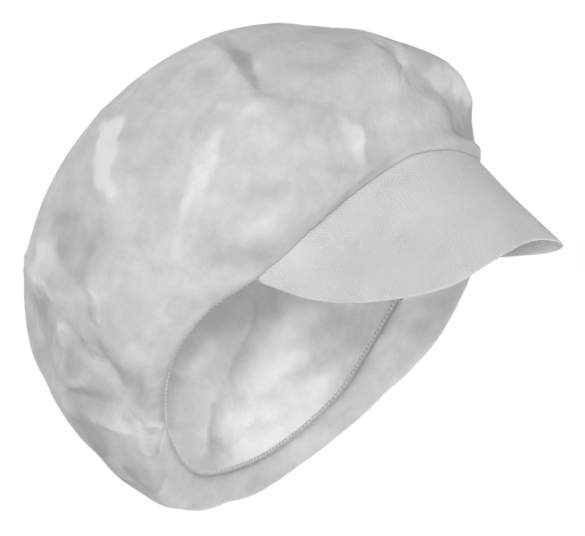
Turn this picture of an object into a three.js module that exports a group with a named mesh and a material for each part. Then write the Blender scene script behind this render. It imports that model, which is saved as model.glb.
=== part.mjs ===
import * as THREE from 'three';

// Disposable peaked hair cover cap, in the form it has on a head. The head is left out.
// Millimetres and degrees. +X is the wearer's left, -Y the front with the peak, +Z up.
// The origin is the middle of the head opening, where the cap sits.
// Three pieces: the gathered crown bag, the elastic hem round the opening, and the sewn-on peak.

// Sizes of the head opening
const OPENING_LENGTH = 203;
const OPENING_TILT = 40;

// Sizes of the crown bag
const BAG_REACH = 128;
const BAG_DEPTH = 125;
const BAG_WALL = 1.2;
const CREASE_LIMIT = 6.5;

// Gathers where the elastic draws the bag in
const GATHER_COUNT = 22;
const GATHER_HEIGHT = 1.7;
const GATHER_RUN = 34;

// Sizes of the elastic hem
const HEM_WIDTH = 3.4;
const HEM_THICKNESS = 2.2;

// Sizes of the peak
const PEAK_LENGTH = 62;
const PEAK_WALL = 1.3;
const PEAK_RIGHT_RUN = 134;
const PEAK_LEFT_RUN = 100;

// Space left between neighbouring pieces
const GAP = 0.35;

// How finely the surfaces are divided
const AROUND = 88;
const UP = 24;
const PEAK_ALONG = 40;
const PEAK_DOWN = 6;
const HEM_SIDES = 6;

// Edge of the opening, from the front to the back. The left and right sides mirror each other.
// forward, half width and rise are shares of OPENING_LENGTH.
const RIM = [
  { forward: 0.502, half: 0.0, rise: 0.0 },
  { forward: 0.472, half: 0.082, rise: 0.010 },
  { forward: 0.394, half: 0.163, rise: 0.017 },
  { forward: 0.271, half: 0.229, rise: 0.022 },
  { forward: 0.138, half: 0.288, rise: 0.020 },
  { forward: 0.0, half: 0.345, rise: 0.005 },
  { forward: -0.138, half: 0.411, rise: 0.0 },
  { forward: -0.271, half: 0.389, rise: -0.010 },
  { forward: -0.384, half: 0.286, rise: -0.034 },
  { forward: -0.458, half: 0.123, rise: -0.059 },
  { forward: -0.478, half: 0.0, rise: -0.069 },
];

// The soft roll next to the opening. The outs are shares of BAG_REACH, the lifts of BAG_DEPTH.
const ROLL = {
  outFront: 0.045, outSide: 0.085, outBack: 0.055, liftFront: 0.050, liftSide: -0.036, liftBack: -0.030,
};

// Loops of the bag above the roll, from the lowest to the top.
// front, back and side are shares of BAG_REACH, the heights of BAG_DEPTH.
// square is 2 for an ellipse and more for a boxier loop.
// tuck is the share by which the front quarter over the right brow is drawn back to the seam.
const LOOPS = [
  {
    front: 0.828, back: 0.885, side: 0.838, tuck: 0.42,
    highFront: 0.140, highBack: -0.160, highSide: -0.056, square: 2.0,
  },
  {
    front: 0.910, back: 0.942, side: 0.908, tuck: 0.24,
    highFront: 0.262, highBack: -0.066, highSide: 0.080, square: 1.95,
  },
  {
    front: 0.952, back: 1.0, side: 0.946, tuck: 0.08,
    highFront: 0.364, highBack: 0.150, highSide: 0.350, square: 2.0,
  },
  {
    front: 0.842, back: 0.958, side: 0.862, tuck: 0.0,
    highFront: 0.648, highBack: 0.562, highSide: 0.655, square: 2.05,
  },
  {
    front: 0.545, back: 0.715, side: 0.644, tuck: 0.0,
    highFront: 0.992, highBack: 0.868, highSide: 0.918, square: 2.1,
  },
  {
    front: 0.300, back: 0.334, side: 0.334, tuck: 0.0,
    highFront: 1.058, highBack: 0.952, highSide: 1.008, square: 2.0,
  },
];
const TOP = { forward: -0.016, high: 1.0 };

// Creases and dents of the bag. A crease runs straight from turn1, up1 to turn2, up2.
// turn is the share of the way round from the front by the wearer's left,
// up the share of the way from the opening to the top.
// push is how far it stands out (or in, where negative), wideA and wideB how far it spreads
// to its left and to its right, in shares of BAG_REACH.
const CREASES = [
  // top edge and level crease of the near side
  { turn1: 0.838, up1: 0.52, turn2: 0.819, up2: 0.285, push: 0.030, wideA: 0.11, wideB: 0.06 },
  { turn1: 0.850, up1: 0.46, turn2: 0.826, up2: 0.30, push: -0.024, wideA: 0.06, wideB: 0.12 },
  { turn1: 0.819, up1: 0.285, turn2: 0.856, up2: 0.20, push: 0.026, wideA: 0.12, wideB: 0.06 },
  // box corner in the middle of the near side
  { turn1: 0.842, up1: 0.180, turn2: 0.863, up2: 0.151, push: 0.022, wideA: 0.10, wideB: 0.06 },
  { turn1: 0.863, up1: 0.151, turn2: 0.866, up2: 0.055, push: -0.022, wideA: 0.07, wideB: 0.09 },
  // long facet towards the back
  { turn1: 0.766, up1: 0.50, turn2: 0.738, up2: 0.372, push: 0.032, wideA: 0.08, wideB: 0.14 },
  { turn1: 0.738, up1: 0.372, turn2: 0.714, up2: 0.315, push: 0.028, wideA: 0.08, wideB: 0.13 },
  { turn1: 0.740, up1: 0.57, turn2: 0.724, up2: 0.444, push: 0.020, wideA: 0.12, wideB: 0.08 },
  // V-shaped facet of the near side
  { turn1: 0.795, up1: 0.280, turn2: 0.744, up2: 0.200, push: 0.028, wideA: 0.12, wideB: 0.07 },
  { turn1: 0.757, up1: 0.300, turn2: 0.742, up2: 0.200, push: -0.020, wideA: 0.09, wideB: 0.09 },
  // ridge, deep slanting fold and two puffs at the front
  { turn1: 0.925, up1: 0.30, turn2: 0.914, up2: 0.150, push: 0.028, wideA: 0.08, wideB: 0.10 },
  { turn1: 0.934, up1: 0.30, turn2: 0.944, up2: 0.190, push: -0.040, wideA: 0.09, wideB: 0.07 },
  { turn1: 0.944, up1: 0.190, turn2: 0.990, up2: 0.150, push: -0.040, wideA: 0.09, wideB: 0.08 },
  { turn1: 0.965, up1: 0.270, turn2: 0.985, up2: 0.255, push: 0.030, wideA: 0.12, wideB: 0.10 },
  { turn1: 0.005, up1: 0.235, turn2: 0.030, up2: 0.220, push: 0.030, wideA: 0.10, wideB: 0.11 },
  // back of the near side: ridge, hollow beside it and small bulge
  { turn1: 0.639, up1: 0.500, turn2: 0.640, up2: 0.430, push: 0.026, wideA: 0.07, wideB: 0.09 },
  { turn1: 0.640, up1: 0.430, turn2: 0.654, up2: 0.335, push: 0.028, wideA: 0.09, wideB: 0.09 },
  { turn1: 0.688, up1: 0.385, turn2: 0.690, up2: 0.335, push: -0.030, wideA: 0.13, wideB: 0.13 },
  { turn1: 0.664, up1: 0.45, turn2: 0.666, up2: 0.42, push: 0.022, wideA: 0.08, wideB: 0.09 },
  // folds running down to the hem at the back of the near side
  { turn1: 0.640, up1: 0.320, turn2: 0.636, up2: 0.110, push: -0.034, wideA: 0.09, wideB: 0.08 },
  { turn1: 0.640, up1: 0.325, turn2: 0.612, up2: 0.310, push: 0.024, wideA: 0.08, wideB: 0.07 },
  { turn1: 0.588, up1: 0.330, turn2: 0.628, up2: 0.220, push: 0.028, wideA: 0.08, wideB: 0.08 },
  { turn1: 0.603, up1: 0.270, turn2: 0.616, up2: 0.150, push: -0.026, wideA: 0.09, wideB: 0.08 },
  { turn1: 0.584, up1: 0.285, turn2: 0.606, up2: 0.150, push: 0.028, wideA: 0.08, wideB: 0.08 },
  { turn1: 0.606, up1: 0.150, turn2: 0.596, up2: 0.085, push: 0.018, wideA: 0.08, wideB: 0.08 },
  { turn1: 0.571, up1: 0.300, turn2: 0.530, up2: 0.270, push: -0.030, wideA: 0.10, wideB: 0.09 },
  { turn1: 0.548, up1: 0.085, turn2: 0.506, up2: 0.120, push: 0.018, wideA: 0.09, wideB: 0.09 },
  // side away from the camera, seen from inside as one long fold
  { turn1: 0.430, up1: 0.090, turn2: 0.405, up2: 0.330, push: -0.036, wideA: 0.10, wideB: 0.08 },
  { turn1: 0.390, up1: 0.100, turn2: 0.372, up2: 0.300, push: 0.026, wideA: 0.10, wideB: 0.12 },
  // folds of the far side, back and top
  { turn1: 0.090, up1: 0.330, turn2: 0.125, up2: 0.170, push: -0.034, wideA: 0.09, wideB: 0.10 },
  { turn1: 0.150, up1: 0.450, turn2: 0.185, up2: 0.240, push: 0.030, wideA: 0.12, wideB: 0.08 },
  { turn1: 0.185, up1: 0.240, turn2: 0.150, up2: 0.130, push: 0.024, wideA: 0.09, wideB: 0.09 },
  { turn1: 0.235, up1: 0.280, turn2: 0.255, up2: 0.110, push: -0.032, wideA: 0.10, wideB: 0.09 },
  { turn1: 0.285, up1: 0.500, turn2: 0.270, up2: 0.330, push: 0.028, wideA: 0.10, wideB: 0.12 },
  { turn1: 0.325, up1: 0.330, turn2: 0.345, up2: 0.160, push: -0.030, wideA: 0.10, wideB: 0.09 },
  { turn1: 0.455, up1: 0.430, turn2: 0.470, up2: 0.220, push: 0.030, wideA: 0.10, wideB: 0.10 },
  { turn1: 0.500, up1: 0.480, turn2: 0.545, up2: 0.400, push: -0.028, wideA: 0.12, wideB: 0.09 },
  { turn1: 0.360, up1: 0.640, turn2: 0.560, up2: 0.680, push: -0.022, wideA: 0.12, wideB: 0.12 },
  { turn1: 0.060, up1: 0.560, turn2: 0.160, up2: 0.700, push: 0.024, wideA: 0.12, wideB: 0.12 },
  { turn1: 0.900, up1: 0.700, turn2: 0.740, up2: 0.740, push: -0.020, wideA: 0.12, wideB: 0.12 },
];

// The peak from its right end to its left end. at is -1 at the right end, 0 at the front fold
// and 1 at the left end; length is a share of PEAK_LENGTH; lean is outwards, in degrees.
const PEAK = [
  { at: -1.0, length: 0.04, lean: 2 },
  { at: -0.9, length: 0.42, lean: 3 },
  { at: -0.75, length: 0.76, lean: 4 },
  { at: -0.55, length: 0.99, lean: 4 },
  { at: -0.35, length: 1.0, lean: 3 },
  { at: -0.15, length: 0.94, lean: 2 },
  { at: 0.0, length: 0.97, lean: 1 },
  { at: 0.12, length: 0.88, lean: -16 },
  { at: 0.30, length: 0.78, lean: -46 },
  { at: 0.55, length: 0.66, lean: -58 },
  { at: 0.75, length: 0.50, lean: -60 },
  { at: 0.9, length: 0.28, lean: -60 },
  { at: 1.0, length: 0.04, lean: -60 },
];

const radians = (degrees) => degrees * Math.PI / 180;
const mix = (a, b, share) => a + (b - a) * share;
const clamp = (value, low, high) => Math.min(high, Math.max(low, value));

// Smooth curve through rows of numbers at growing knots; each slope comes from both neighbours.
function smoothRow(knots, rows, at) {
  const last = knots.length - 1;
  let i = 0;
  while (i < last - 1 && at >= knots[i + 1]) i += 1;
  const slope = (k, c) => {
    const a = Math.max(k - 1, 0);
    const b = Math.min(k + 1, last);
    return (rows[b][c] - rows[a][c]) / (knots[b] - knots[a]);
  };
  const step = knots[i + 1] - knots[i];
  const s = (at - knots[i]) / step;
  const s2 = s * s;
  const s3 = s2 * s;
  return rows[i].map((start, c) => (2 * s3 - 3 * s2 + 1) * start
    + (s3 - 2 * s2 + s) * step * slope(i, c)
    + (3 * s2 - 2 * s3) * rows[i + 1][c]
    + (s3 - s2) * step * slope(i + 1, c));
}

const distance = (a, b) => Math.hypot(...a.map((value, c) => value - b[c]));

// The whole edge of the opening as an even loop, front first and then by the wearer's left.
// A point is [x, y, z] in the opening's own frame: x to the left, y to the back, z into the bag.
function rimLoop() {
  const half = RIM.map((row) => [
    row.half * OPENING_LENGTH, -row.forward * OPENING_LENGTH, row.rise * OPENING_LENGTH,
  ]);
  const mirrored = half.slice(1, -1).reverse().map(([x, y, z]) => [-x, y, z]);
  const loop = [...half, ...mirrored];
  const rows = [...loop.slice(-2), ...loop, ...loop.slice(0, 3)];
  const knots = [0];
  for (let i = 1; i < rows.length; i += 1) knots.push(knots[i - 1] + distance(rows[i], rows[i - 1]));
  const first = knots[2];
  const whole = knots[2 + loop.length] - first;
  const fine = 1440;
  const points = [];
  const run = [0];
  for (let i = 0; i <= fine; i += 1) {
    points.push(smoothRow(knots, rows, first + whole * i / fine));
    if (i > 0) run.push(run[i - 1] + distance(points[i], points[i - 1]));
  }
  return { points, run, length: run[fine] };
}

const rim = rimLoop();

// Point of the opening's edge after a run along it from the front, with the way along and outwards.
function rimAt(run) {
  const wrapped = ((run % rim.length) + rim.length) % rim.length;
  let low = 0;
  let high = rim.run.length - 1;
  while (high - low > 1) {
    const middle = (low + high) >> 1;
    if (rim.run[middle] <= wrapped) low = middle;
    else high = middle;
  }
  const share = (wrapped - rim.run[low]) / (rim.run[high] - rim.run[low]);
  const a = rim.points[low];
  const b = rim.points[high];
  const point = new THREE.Vector3(...a.map((value, c) => mix(value, b[c], share)));
  const along = new THREE.Vector3(b[0] - a[0], b[1] - a[1], b[2] - a[2]).normalize();
  const out = new THREE.Vector3(-along.y, along.x, 0).normalize().multiplyScalar(-1);
  return { point, along, out };
}

// Outward way at the rim, smoothed over a short run so that neighbouring pieces stay parallel.
function rimOut(run) {
  const sum = new THREE.Vector3();
  for (let k = -3; k <= 3; k += 1) sum.add(rimAt(run + k * 2.5).out);
  return sum.normalize();
}

// A value that is front at the front, side at both sides and back at the back.
function roundValue(angle, front, side, back) {
  const c = Math.cos(angle);
  return side + (c > 0 ? front - side : back - side) * c * c;
}

// One loop of the bag at an angle from the front: a superellipse with its own front and back.
function loopPoint(loop, angle) {
  const c = Math.cos(angle);
  const s = Math.sin(angle);
  const power = 2 / loop.square;
  const x = loop.side * Math.sign(s) * Math.abs(s) ** power;
  const y = -(c > 0 ? loop.front : loop.back) * Math.sign(c) * Math.abs(c) ** power;
  const z = roundValue(angle, loop.highFront, loop.highSide, loop.highBack);
  return new THREE.Vector3(x * BAG_REACH, y * BAG_REACH, z * BAG_DEPTH);
}

// Guide points for one turn round the bag: rim, roll, loops and top.
const guideStore = new Map();
function guides(turn) {
  if (!guideStore.has(turn)) guideStore.set(turn, makeGuides(turn));
  return guideStore.get(turn);
}

function makeGuides(turn) {
  const run = turn * rim.length;
  const edge = rimAt(run).point;
  const edgeAngle = Math.atan2(edge.x, -edge.y);
  const even = turn * 2 * Math.PI;
  let start = edgeAngle;
  while (start < even - Math.PI) start += 2 * Math.PI;
  while (start > even + Math.PI) start -= 2 * Math.PI;
  const out = roundValue(start, ROLL.outFront, ROLL.outSide, ROLL.outBack) * BAG_REACH;
  const roll = edge.clone().addScaledVector(rimOut(run), out);
  roll.z += roundValue(start, ROLL.liftFront, ROLL.liftSide, ROLL.liftBack) * BAG_DEPTH;
  const list = [edge, roll];
  LOOPS.forEach((loop, i) => {
    const angle = mix(start, even, Math.min(1, (i + 1) / 3));
    const spot = loopPoint(loop, angle);
    const quarter = spot.x < 0 && spot.y < 0 ? Math.sin(2 * angle) ** 2 : 0;
    spot.x = mix(spot.x, edge.x, loop.tuck * quarter);
    spot.y = mix(spot.y, edge.y, loop.tuck * quarter);
    list.push(spot);
  });
  list.push(new THREE.Vector3(0, -TOP.forward * BAG_REACH, TOP.high * BAG_DEPTH));
  return list;
}

// Knots shared by all turns: how far up each guide row lies, as a share.
const guideKnots = (() => {
  const all = [];
  for (let i = 0; i < 72; i += 1) all.push(guides(i / 72));
  const knots = [0];
  for (let k = 1; k < all[0].length; k += 1) {
    const mean = all.reduce((sum, list) => sum + list[k].distanceTo(list[k - 1]), 0) / all.length;
    knots.push(knots[k - 1] + mean);
  }
  return knots;
})();
const guideRun = guideKnots[guideKnots.length - 1];

// Plain bag surface without creases.
function bagPoint(turn, up) {
  const list = guides(turn);
  const across = guides((turn + 0.5) % 1);
  const rows = [...list, across[across.length - 2]].map((p) => [p.x, p.y, p.z]);
  const knots = guideKnots.map((knot) => knot / guideRun);
  knots.push(2 - knots[knots.length - 2]);
  return new THREE.Vector3(...smoothRow(knots, rows, up));
}

function bagNormal(turn, up) {
  const d = 0.004;
  const a = bagPoint((turn + d) % 1, up);
  const b = bagPoint((turn + 1 - d) % 1, up);
  const c = bagPoint(turn, Math.min(1, up + d));
  const e = bagPoint(turn, Math.max(0, up - d));
  return a.sub(b).cross(c.sub(e)).normalize();
}

// Each crease as a short string of surface points.
const creaseLines = CREASES.map((crease) => {
  const points = [];
  let sweep = crease.turn2 - crease.turn1;
  if (sweep > 0.5) sweep -= 1;
  if (sweep < -0.5) sweep += 1;
  for (let i = 0; i <= 6; i += 1) {
    const turn = (crease.turn1 + sweep * i / 6 + 1) % 1;
    points.push(bagPoint(turn, mix(crease.up1, crease.up2, i / 6)));
  }
  return { ...crease, points };
});

// Height that a crease adds at a surface point: a soft edge that fades to both sides and at its ends.
function creaseHeight(crease, point, normal) {
  let best = Infinity;
  let side = 0;
  const span = new THREE.Vector3();
  const away = new THREE.Vector3();
  for (let i = 1; i < crease.points.length; i += 1) {
    const a = crease.points[i - 1];
    span.subVectors(crease.points[i], a);
    away.subVectors(point, a);
    const share = clamp(away.dot(span) / span.lengthSq(), 0, 1);
    away.addScaledVector(span, -share);
    const gap = away.length();
    if (gap < best) {
      best = gap;
      side = span.clone().cross(away).dot(normal);
    }
  }
  const wide = (side > 0 ? crease.wideA : crease.wideB) * BAG_REACH;
  const share = best / wide;
  if (share > 2.4) return 0;
  const soft = Math.sqrt(share * share + 0.03) - Math.sqrt(0.03);
  return crease.push * BAG_REACH * Math.exp(-1.6 * soft * (0.7 + 0.6 * share));
}

// Pleats drawn in by the elastic: none at the sewn edge, strongest just above it, then fading.
function gatherHeight(turn, run) {
  const wave = turn * 2 * Math.PI;
  const phase = GATHER_COUNT * wave + 1.3 * Math.sin(3 * wave + 0.6) + 0.8 * Math.sin(7 * wave + 2.1);
  const strength = 0.75 + 0.25 * Math.sin(5 * wave + 1.7);
  const rise = 1 - Math.exp(-run / 5);
  const fade = Math.exp(-run / GATHER_RUN);
  return GATHER_HEIGHT * strength * rise * fade * Math.sin(phase);
}

// Finished bag surface with creases and gathers, and its inward way.
function crownPoint(turn, up) {
  const point = bagPoint(turn, up);
  const normal = bagNormal(turn, Math.min(up, 0.985));
  const ease = clamp((up - 0.015) / 0.12, 0, 1);
  let height = 0;
  creaseLines.forEach((crease) => {
    height += creaseHeight(crease, point, normal);
  });
  height = CREASE_LIMIT * Math.tanh(height / CREASE_LIMIT) * ease * ease * (3 - 2 * ease);
  height += gatherHeight(turn, up * guideRun);
  return { point: point.addScaledVector(normal, height), normal };
}

// Mesh helpers
class Builder {
  constructor() {
    this.position = [];
    this.index = [];
  }

  add(point) {
    this.position.push(point.x, point.y, point.z);
    return this.position.length / 3 - 1;
  }

  quad(a, b, c, d) {
    this.index.push(a, b, c, a, c, d);
  }

  geometry() {
    const geometry = new THREE.BufferGeometry();
    geometry.setAttribute('position', new THREE.Float32BufferAttribute(this.position, 3));
    geometry.setIndex(this.index);
    geometry.computeVertexNormals();
    return geometry;
  }
}

// The crown: an outer and an inner skin, joined along the opening.
function crownGeometry() {
  const build = new Builder();
  const outer = [];
  const inner = [];
  for (let j = 0; j < UP; j += 1) {
    const x = j / UP;
    const up = x * (0.62 + 0.38 * x);
    outer.push([]);
    inner.push([]);
    for (let i = 0; i < AROUND; i += 1) {
      const { point, normal } = crownPoint(i / AROUND, up);
      outer[j].push(build.add(point));
      inner[j].push(build.add(point.clone().addScaledVector(normal, -BAG_WALL)));
    }
  }
  const top = crownPoint(0, 1);
  const up = new THREE.Vector3(0, 0, 1);
  const outerTop = build.add(top.point);
  const innerTop = build.add(top.point.clone().addScaledVector(up, -BAG_WALL));
  for (let i = 0; i < AROUND; i += 1) {
    const k = (i + 1) % AROUND;
    for (let j = 0; j < UP - 1; j += 1) {
      build.quad(outer[j][i], outer[j][k], outer[j + 1][k], outer[j + 1][i]);
      build.quad(inner[j][k], inner[j][i], inner[j + 1][i], inner[j + 1][k]);
    }
    build.index.push(outer[UP - 1][i], outer[UP - 1][k], outerTop);
    build.index.push(inner[UP - 1][k], inner[UP - 1][i], innerTop);
    build.quad(outer[0][k], outer[0][i], inner[0][i], inner[0][k]);
  }
  return build.geometry();
}

// The elastic hem: an oval bead that carries the bag's edge on into the opening.
function hemGeometry() {
  const build = new Builder();
  const rings = [];
  for (let i = 0; i < AROUND; i += 1) {
    const run = rim.length * i / AROUND;
    const [edge, roll] = guides(run / rim.length);
    const down = edge.clone().sub(roll).normalize();
    const inward = bagNormal(run / rim.length, 0).multiplyScalar(-1);
    const centre = edge.clone().addScaledVector(inward, BAG_WALL / 2);
    centre.addScaledVector(down, HEM_WIDTH / 2 + GAP);
    const ring = [];
    for (let k = 0; k < HEM_SIDES; k += 1) {
      const angle = 2 * Math.PI * k / HEM_SIDES;
      const spot = centre.clone().addScaledVector(down, -Math.cos(angle) * HEM_WIDTH / 2);
      spot.addScaledVector(inward, Math.sin(angle) * HEM_THICKNESS / 2);
      ring.push(build.add(spot));
    }
    rings.push(ring);
  }
  rings.forEach((ring, i) => {
    const next = rings[(i + 1) % AROUND];
    for (let k = 0; k < HEM_SIDES; k += 1) {
      const n = (k + 1) % HEM_SIDES;
      build.quad(ring[k], next[k], next[n], ring[n]);
    }
  });
  return build.geometry();
}

// Middle surface of the peak: along is -1 to 1 from right to left, down 0 at the seam, 1 at the free edge.
function peakFrame(along, down) {
  const knots = PEAK.map((row) => row.at);
  const rows = PEAK.map((row) => [row.length, row.lean]);
  const [length, lean] = smoothRow(knots, rows, along);
  const run = along * (along < 0 ? PEAK_RIGHT_RUN : PEAK_LEFT_RUN);
  const { point } = rimAt(run);
  const out = rimOut(run);
  const point0 = point.clone().addScaledVector(out, PEAK_WALL / 4);
  point0.z -= 3 * GAP;
  const share = down;
  const swing = radians(lean) * (0.45 + 0.55 * share);
  const reach = PEAK_LENGTH * length * share;
  point0.addScaledVector(out, Math.sin(swing) * reach);
  point0.z -= Math.cos(swing) * reach;
  return point0;
}

function peakNormal(along, down) {
  const d = 0.01;
  const a = peakFrame(clamp(along + d, -1, 1), down).sub(peakFrame(clamp(along - d, -1, 1), down));
  const low = Math.max(down - 0.05, 0);
  const b = peakFrame(along, low + 0.1).sub(peakFrame(along, low));
  return b.cross(a).normalize();
}

// The peak: a curved sheet between an outer and an inner face.
function peakGeometry() {
  const build = new Builder();
  const faces = [1, -1].map((sign) => {
    const face = [];
    for (let j = 0; j <= PEAK_DOWN; j += 1) {
      face.push([]);
      for (let i = 0; i <= PEAK_ALONG; i += 1) {
        const along = 2 * i / PEAK_ALONG - 1;
        const down = j / PEAK_DOWN;
        const spot = peakFrame(along, down).addScaledVector(peakNormal(along, down), sign * PEAK_WALL / 2);
        face[j].push(build.add(spot));
      }
    }
    return face;
  });
  const [outer, inner] = faces;
  for (let j = 0; j < PEAK_DOWN; j += 1) {
    for (let i = 0; i < PEAK_ALONG; i += 1) {
      build.quad(outer[j][i], outer[j + 1][i], outer[j + 1][i + 1], outer[j][i + 1]);
      build.quad(inner[j][i + 1], inner[j + 1][i + 1], inner[j + 1][i], inner[j][i]);
    }
    build.quad(inner[j][0], inner[j + 1][0], outer[j + 1][0], outer[j][0]);
    build.quad(outer[j][PEAK_ALONG], outer[j + 1][PEAK_ALONG], inner[j + 1][PEAK_ALONG], inner[j][PEAK_ALONG]);
  }
  for (let i = 0; i < PEAK_ALONG; i += 1) {
    build.quad(outer[0][i + 1], inner[0][i + 1], inner[0][i], outer[0][i]);
    build.quad(outer[PEAK_DOWN][i], inner[PEAK_DOWN][i], inner[PEAK_DOWN][i + 1], outer[PEAK_DOWN][i + 1]);
  }
  return build.geometry();
}

function piece(name, geometry, color, roughness) {
  const mesh = new THREE.Mesh(geometry, new THREE.MeshStandardMaterial({ color, roughness, metalness: 0 }));
  mesh.name = name;
  return mesh;
}

// Assembly, modelled level and then tipped up at the front
const cap = new THREE.Group();
const tipped = new THREE.Group();
tipped.rotation.x = -radians(OPENING_TILT);
tipped.add(piece('crown', crownGeometry(), 0xdadada, 0.85));
tipped.add(piece('elastic_hem', hemGeometry(), 0xcfcfcf, 0.9));
tipped.add(piece('peak', peakGeometry(), 0xd2d2d2, 0.8));
cap.add(tipped);

export default cap;
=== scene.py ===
"""Looks of a disposable peaked hair cover cap in its worn form, in metres, in the frame of the solids.

+X is the wearer's left, -Y the front, +Z up. Shapes are worked out in the opening's own level frame
in millimetres, and then tipped up at the front and scaled to metres.
"""

import logging
import math
from dataclasses import dataclass, field
from enum import Enum

import bpy
import numpy as np
from mathutils import Matrix, Vector


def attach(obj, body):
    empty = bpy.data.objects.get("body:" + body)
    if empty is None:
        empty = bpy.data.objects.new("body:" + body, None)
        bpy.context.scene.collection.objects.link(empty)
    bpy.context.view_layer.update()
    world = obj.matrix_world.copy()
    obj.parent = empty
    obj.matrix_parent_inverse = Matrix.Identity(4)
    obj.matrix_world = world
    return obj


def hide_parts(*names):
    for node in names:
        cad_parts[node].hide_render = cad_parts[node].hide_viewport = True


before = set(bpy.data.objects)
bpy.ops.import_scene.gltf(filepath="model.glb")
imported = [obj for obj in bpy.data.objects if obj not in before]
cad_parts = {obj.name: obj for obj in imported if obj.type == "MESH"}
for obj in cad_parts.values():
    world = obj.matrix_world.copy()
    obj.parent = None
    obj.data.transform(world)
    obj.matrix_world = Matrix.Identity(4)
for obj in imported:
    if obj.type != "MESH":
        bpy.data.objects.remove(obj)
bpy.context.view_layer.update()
log = logging.getLogger("cap")

TILT = math.radians(40.0)
MM = 0.001
# Radians in a turn, rounded in the same way wherever a wave's phase hangs on it, and waves in a soft noise.
FULL_TURN = 6.283
WAVES = 6


# Small numeric helpers

def tipped(points: np.ndarray) -> np.ndarray:
    """Turns level millimetre points about X by minus the tilt and gives metres.

    Args:
        points: array whose last axis is x, y, z.

    Returns:
        The turned points, in metres.
    """
    c, s = math.cos(TILT), math.sin(TILT)
    x, y, z = points[..., 0], points[..., 1], points[..., 2]
    return np.stack([x, y * c + z * s, -y * s + z * c], -1) * MM


def smooth(knots: np.ndarray, rows: np.ndarray, at: np.ndarray) -> np.ndarray:
    """Cubic curve through rows at growing knots, each slope taken from both neighbours.

    Args:
        knots: places of the rows, growing.
        rows: values, first axis as long as knots.
        at: where to read the curve.

    Returns:
        Values with at's length as first axis.
    """
    m = np.empty_like(rows)
    shape = (-1,) + (1,) * (rows.ndim - 1)
    m[1:-1] = (rows[2:] - rows[:-2]) / (knots[2:] - knots[:-2]).reshape(shape)
    m[0] = (rows[1] - rows[0]) / (knots[1] - knots[0])
    m[-1] = (rows[-1] - rows[-2]) / (knots[-1] - knots[-2])
    i = np.clip(np.searchsorted(knots, at, side="right") - 1, 0, len(knots) - 2)
    h = (knots[i + 1] - knots[i]).reshape(shape)
    s = (at - knots[i]).reshape(shape) / h
    return ((2 * s**3 - 3 * s**2 + 1) * rows[i] + (s**3 - 2 * s**2 + s) * h * m[i]
            + (3 * s**2 - 2 * s**3) * rows[i + 1] + (s**3 - s**2) * h * m[i + 1])


def unit(v: np.ndarray) -> np.ndarray:
    """Vectors scaled to length one along the last axis."""
    return v / np.maximum(np.linalg.norm(v, axis=-1, keepdims=True), 1e-12)


def dot(a: np.ndarray, b: np.ndarray) -> np.ndarray:
    """Dot product along the last axis."""
    return (a * b).sum(-1)


def triangle(x: np.ndarray) -> np.ndarray:
    """Triangle wave of period one between -1 and 1: flat facets that meet in sharp lines."""
    return 4 * np.abs(x - np.floor(x + 0.5)) - 1


def soft_noise(p: np.ndarray, scale: float, seed: int) -> np.ndarray:
    """Smooth field between about -1 and 1: a sum of six sine waves in seeded directions.

    Args:
        p: points in millimetres.
        scale: usual distance between hills.
        seed: picks directions and phases.

    Returns:
        One value for each point.
    """
    rng = np.random.default_rng(seed)
    total = np.zeros(p.shape[:-1])
    for _ in range(WAVES):
        way = unit(rng.normal(size=3))
        total += np.sin(p @ way * (2 * math.pi / (scale * rng.uniform(0.8, 1.6))) + rng.uniform(0, FULL_TURN))
    return total / 3.2


def facet_noise(p: np.ndarray, scale: float, seed: int) -> np.ndarray:
    """Field of flat facets that meet in sharp lines, between -1 and 1.

    Random heights stand at the corners of a turned cubic lattice whose space is bent by soft noise.
    Each cube is cut into six tetrahedra, and the heights run straight inside each of them.

    Args:
        p: points in millimetres.
        scale: lattice step.
        seed: picks turn, bend and heights.

    Returns:
        One value for each point.
    """
    rng = np.random.default_rng(seed)
    turn = np.linalg.qr(rng.normal(size=(3, 3)))[0]
    bend = np.stack([soft_noise(p, 2.2 * scale, seed * 7 + k) for k in range(3)], -1) * 0.28 * scale
    q = (p + bend) @ turn / scale + 50
    base = np.floor(q).astype(np.int64)
    part = q - base
    order = np.argsort(-part, axis=-1)
    part = np.take_along_axis(part, order, -1)
    heights = rng.uniform(-1, 1, 4096)
    total = np.zeros(p.shape[:-1])
    corner = base.copy()
    for k in range(4):
        weight = (1 - part[..., 0]) if k == 0 else part[..., k - 1] - (part[..., k] if k < 3 else 0)
        key = (corner[..., 0] * 73 + corner[..., 1] * 179 + corner[..., 2] * 283 + seed * 31) % 4096
        total += weight * heights[key]
        if k < 3:
            corner = corner + np.eye(3, dtype=np.int64)[order[..., k]]
    return total


def mesh_object(name: str, points: np.ndarray, faces: list[np.ndarray], uvs: np.ndarray | None = None,
                smooth_faces: bool = True) -> bpy.types.Object:
    """Makes an object whose mesh holds the given points and faces.

    Args:
        name: object name.
        points: (..., 3) in metres.
        faces: sets of faces, each (m, corners) vertex numbers.
        uvs: a place on the cloth's map for each corner of each face, or None.
        smooth_faces: whether the faces shade smoothly.

    Returns:
        The linked object.
    """
    mesh = bpy.data.meshes.new(name)
    mesh.from_pydata(points.reshape(-1, 3).tolist(), [], [row for part in faces for row in part.tolist()])
    if uvs is not None:
        layer = mesh.uv_layers.new(name="cloth")
        layer.data.foreach_set("uv", uvs.astype(np.float32).ravel())
    mesh.polygons.foreach_set("use_smooth", np.full(len(mesh.polygons), smooth_faces))
    mesh.update()
    thing = bpy.data.objects.new(name, mesh)
    bpy.context.scene.collection.objects.link(thing)
    return thing


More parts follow.
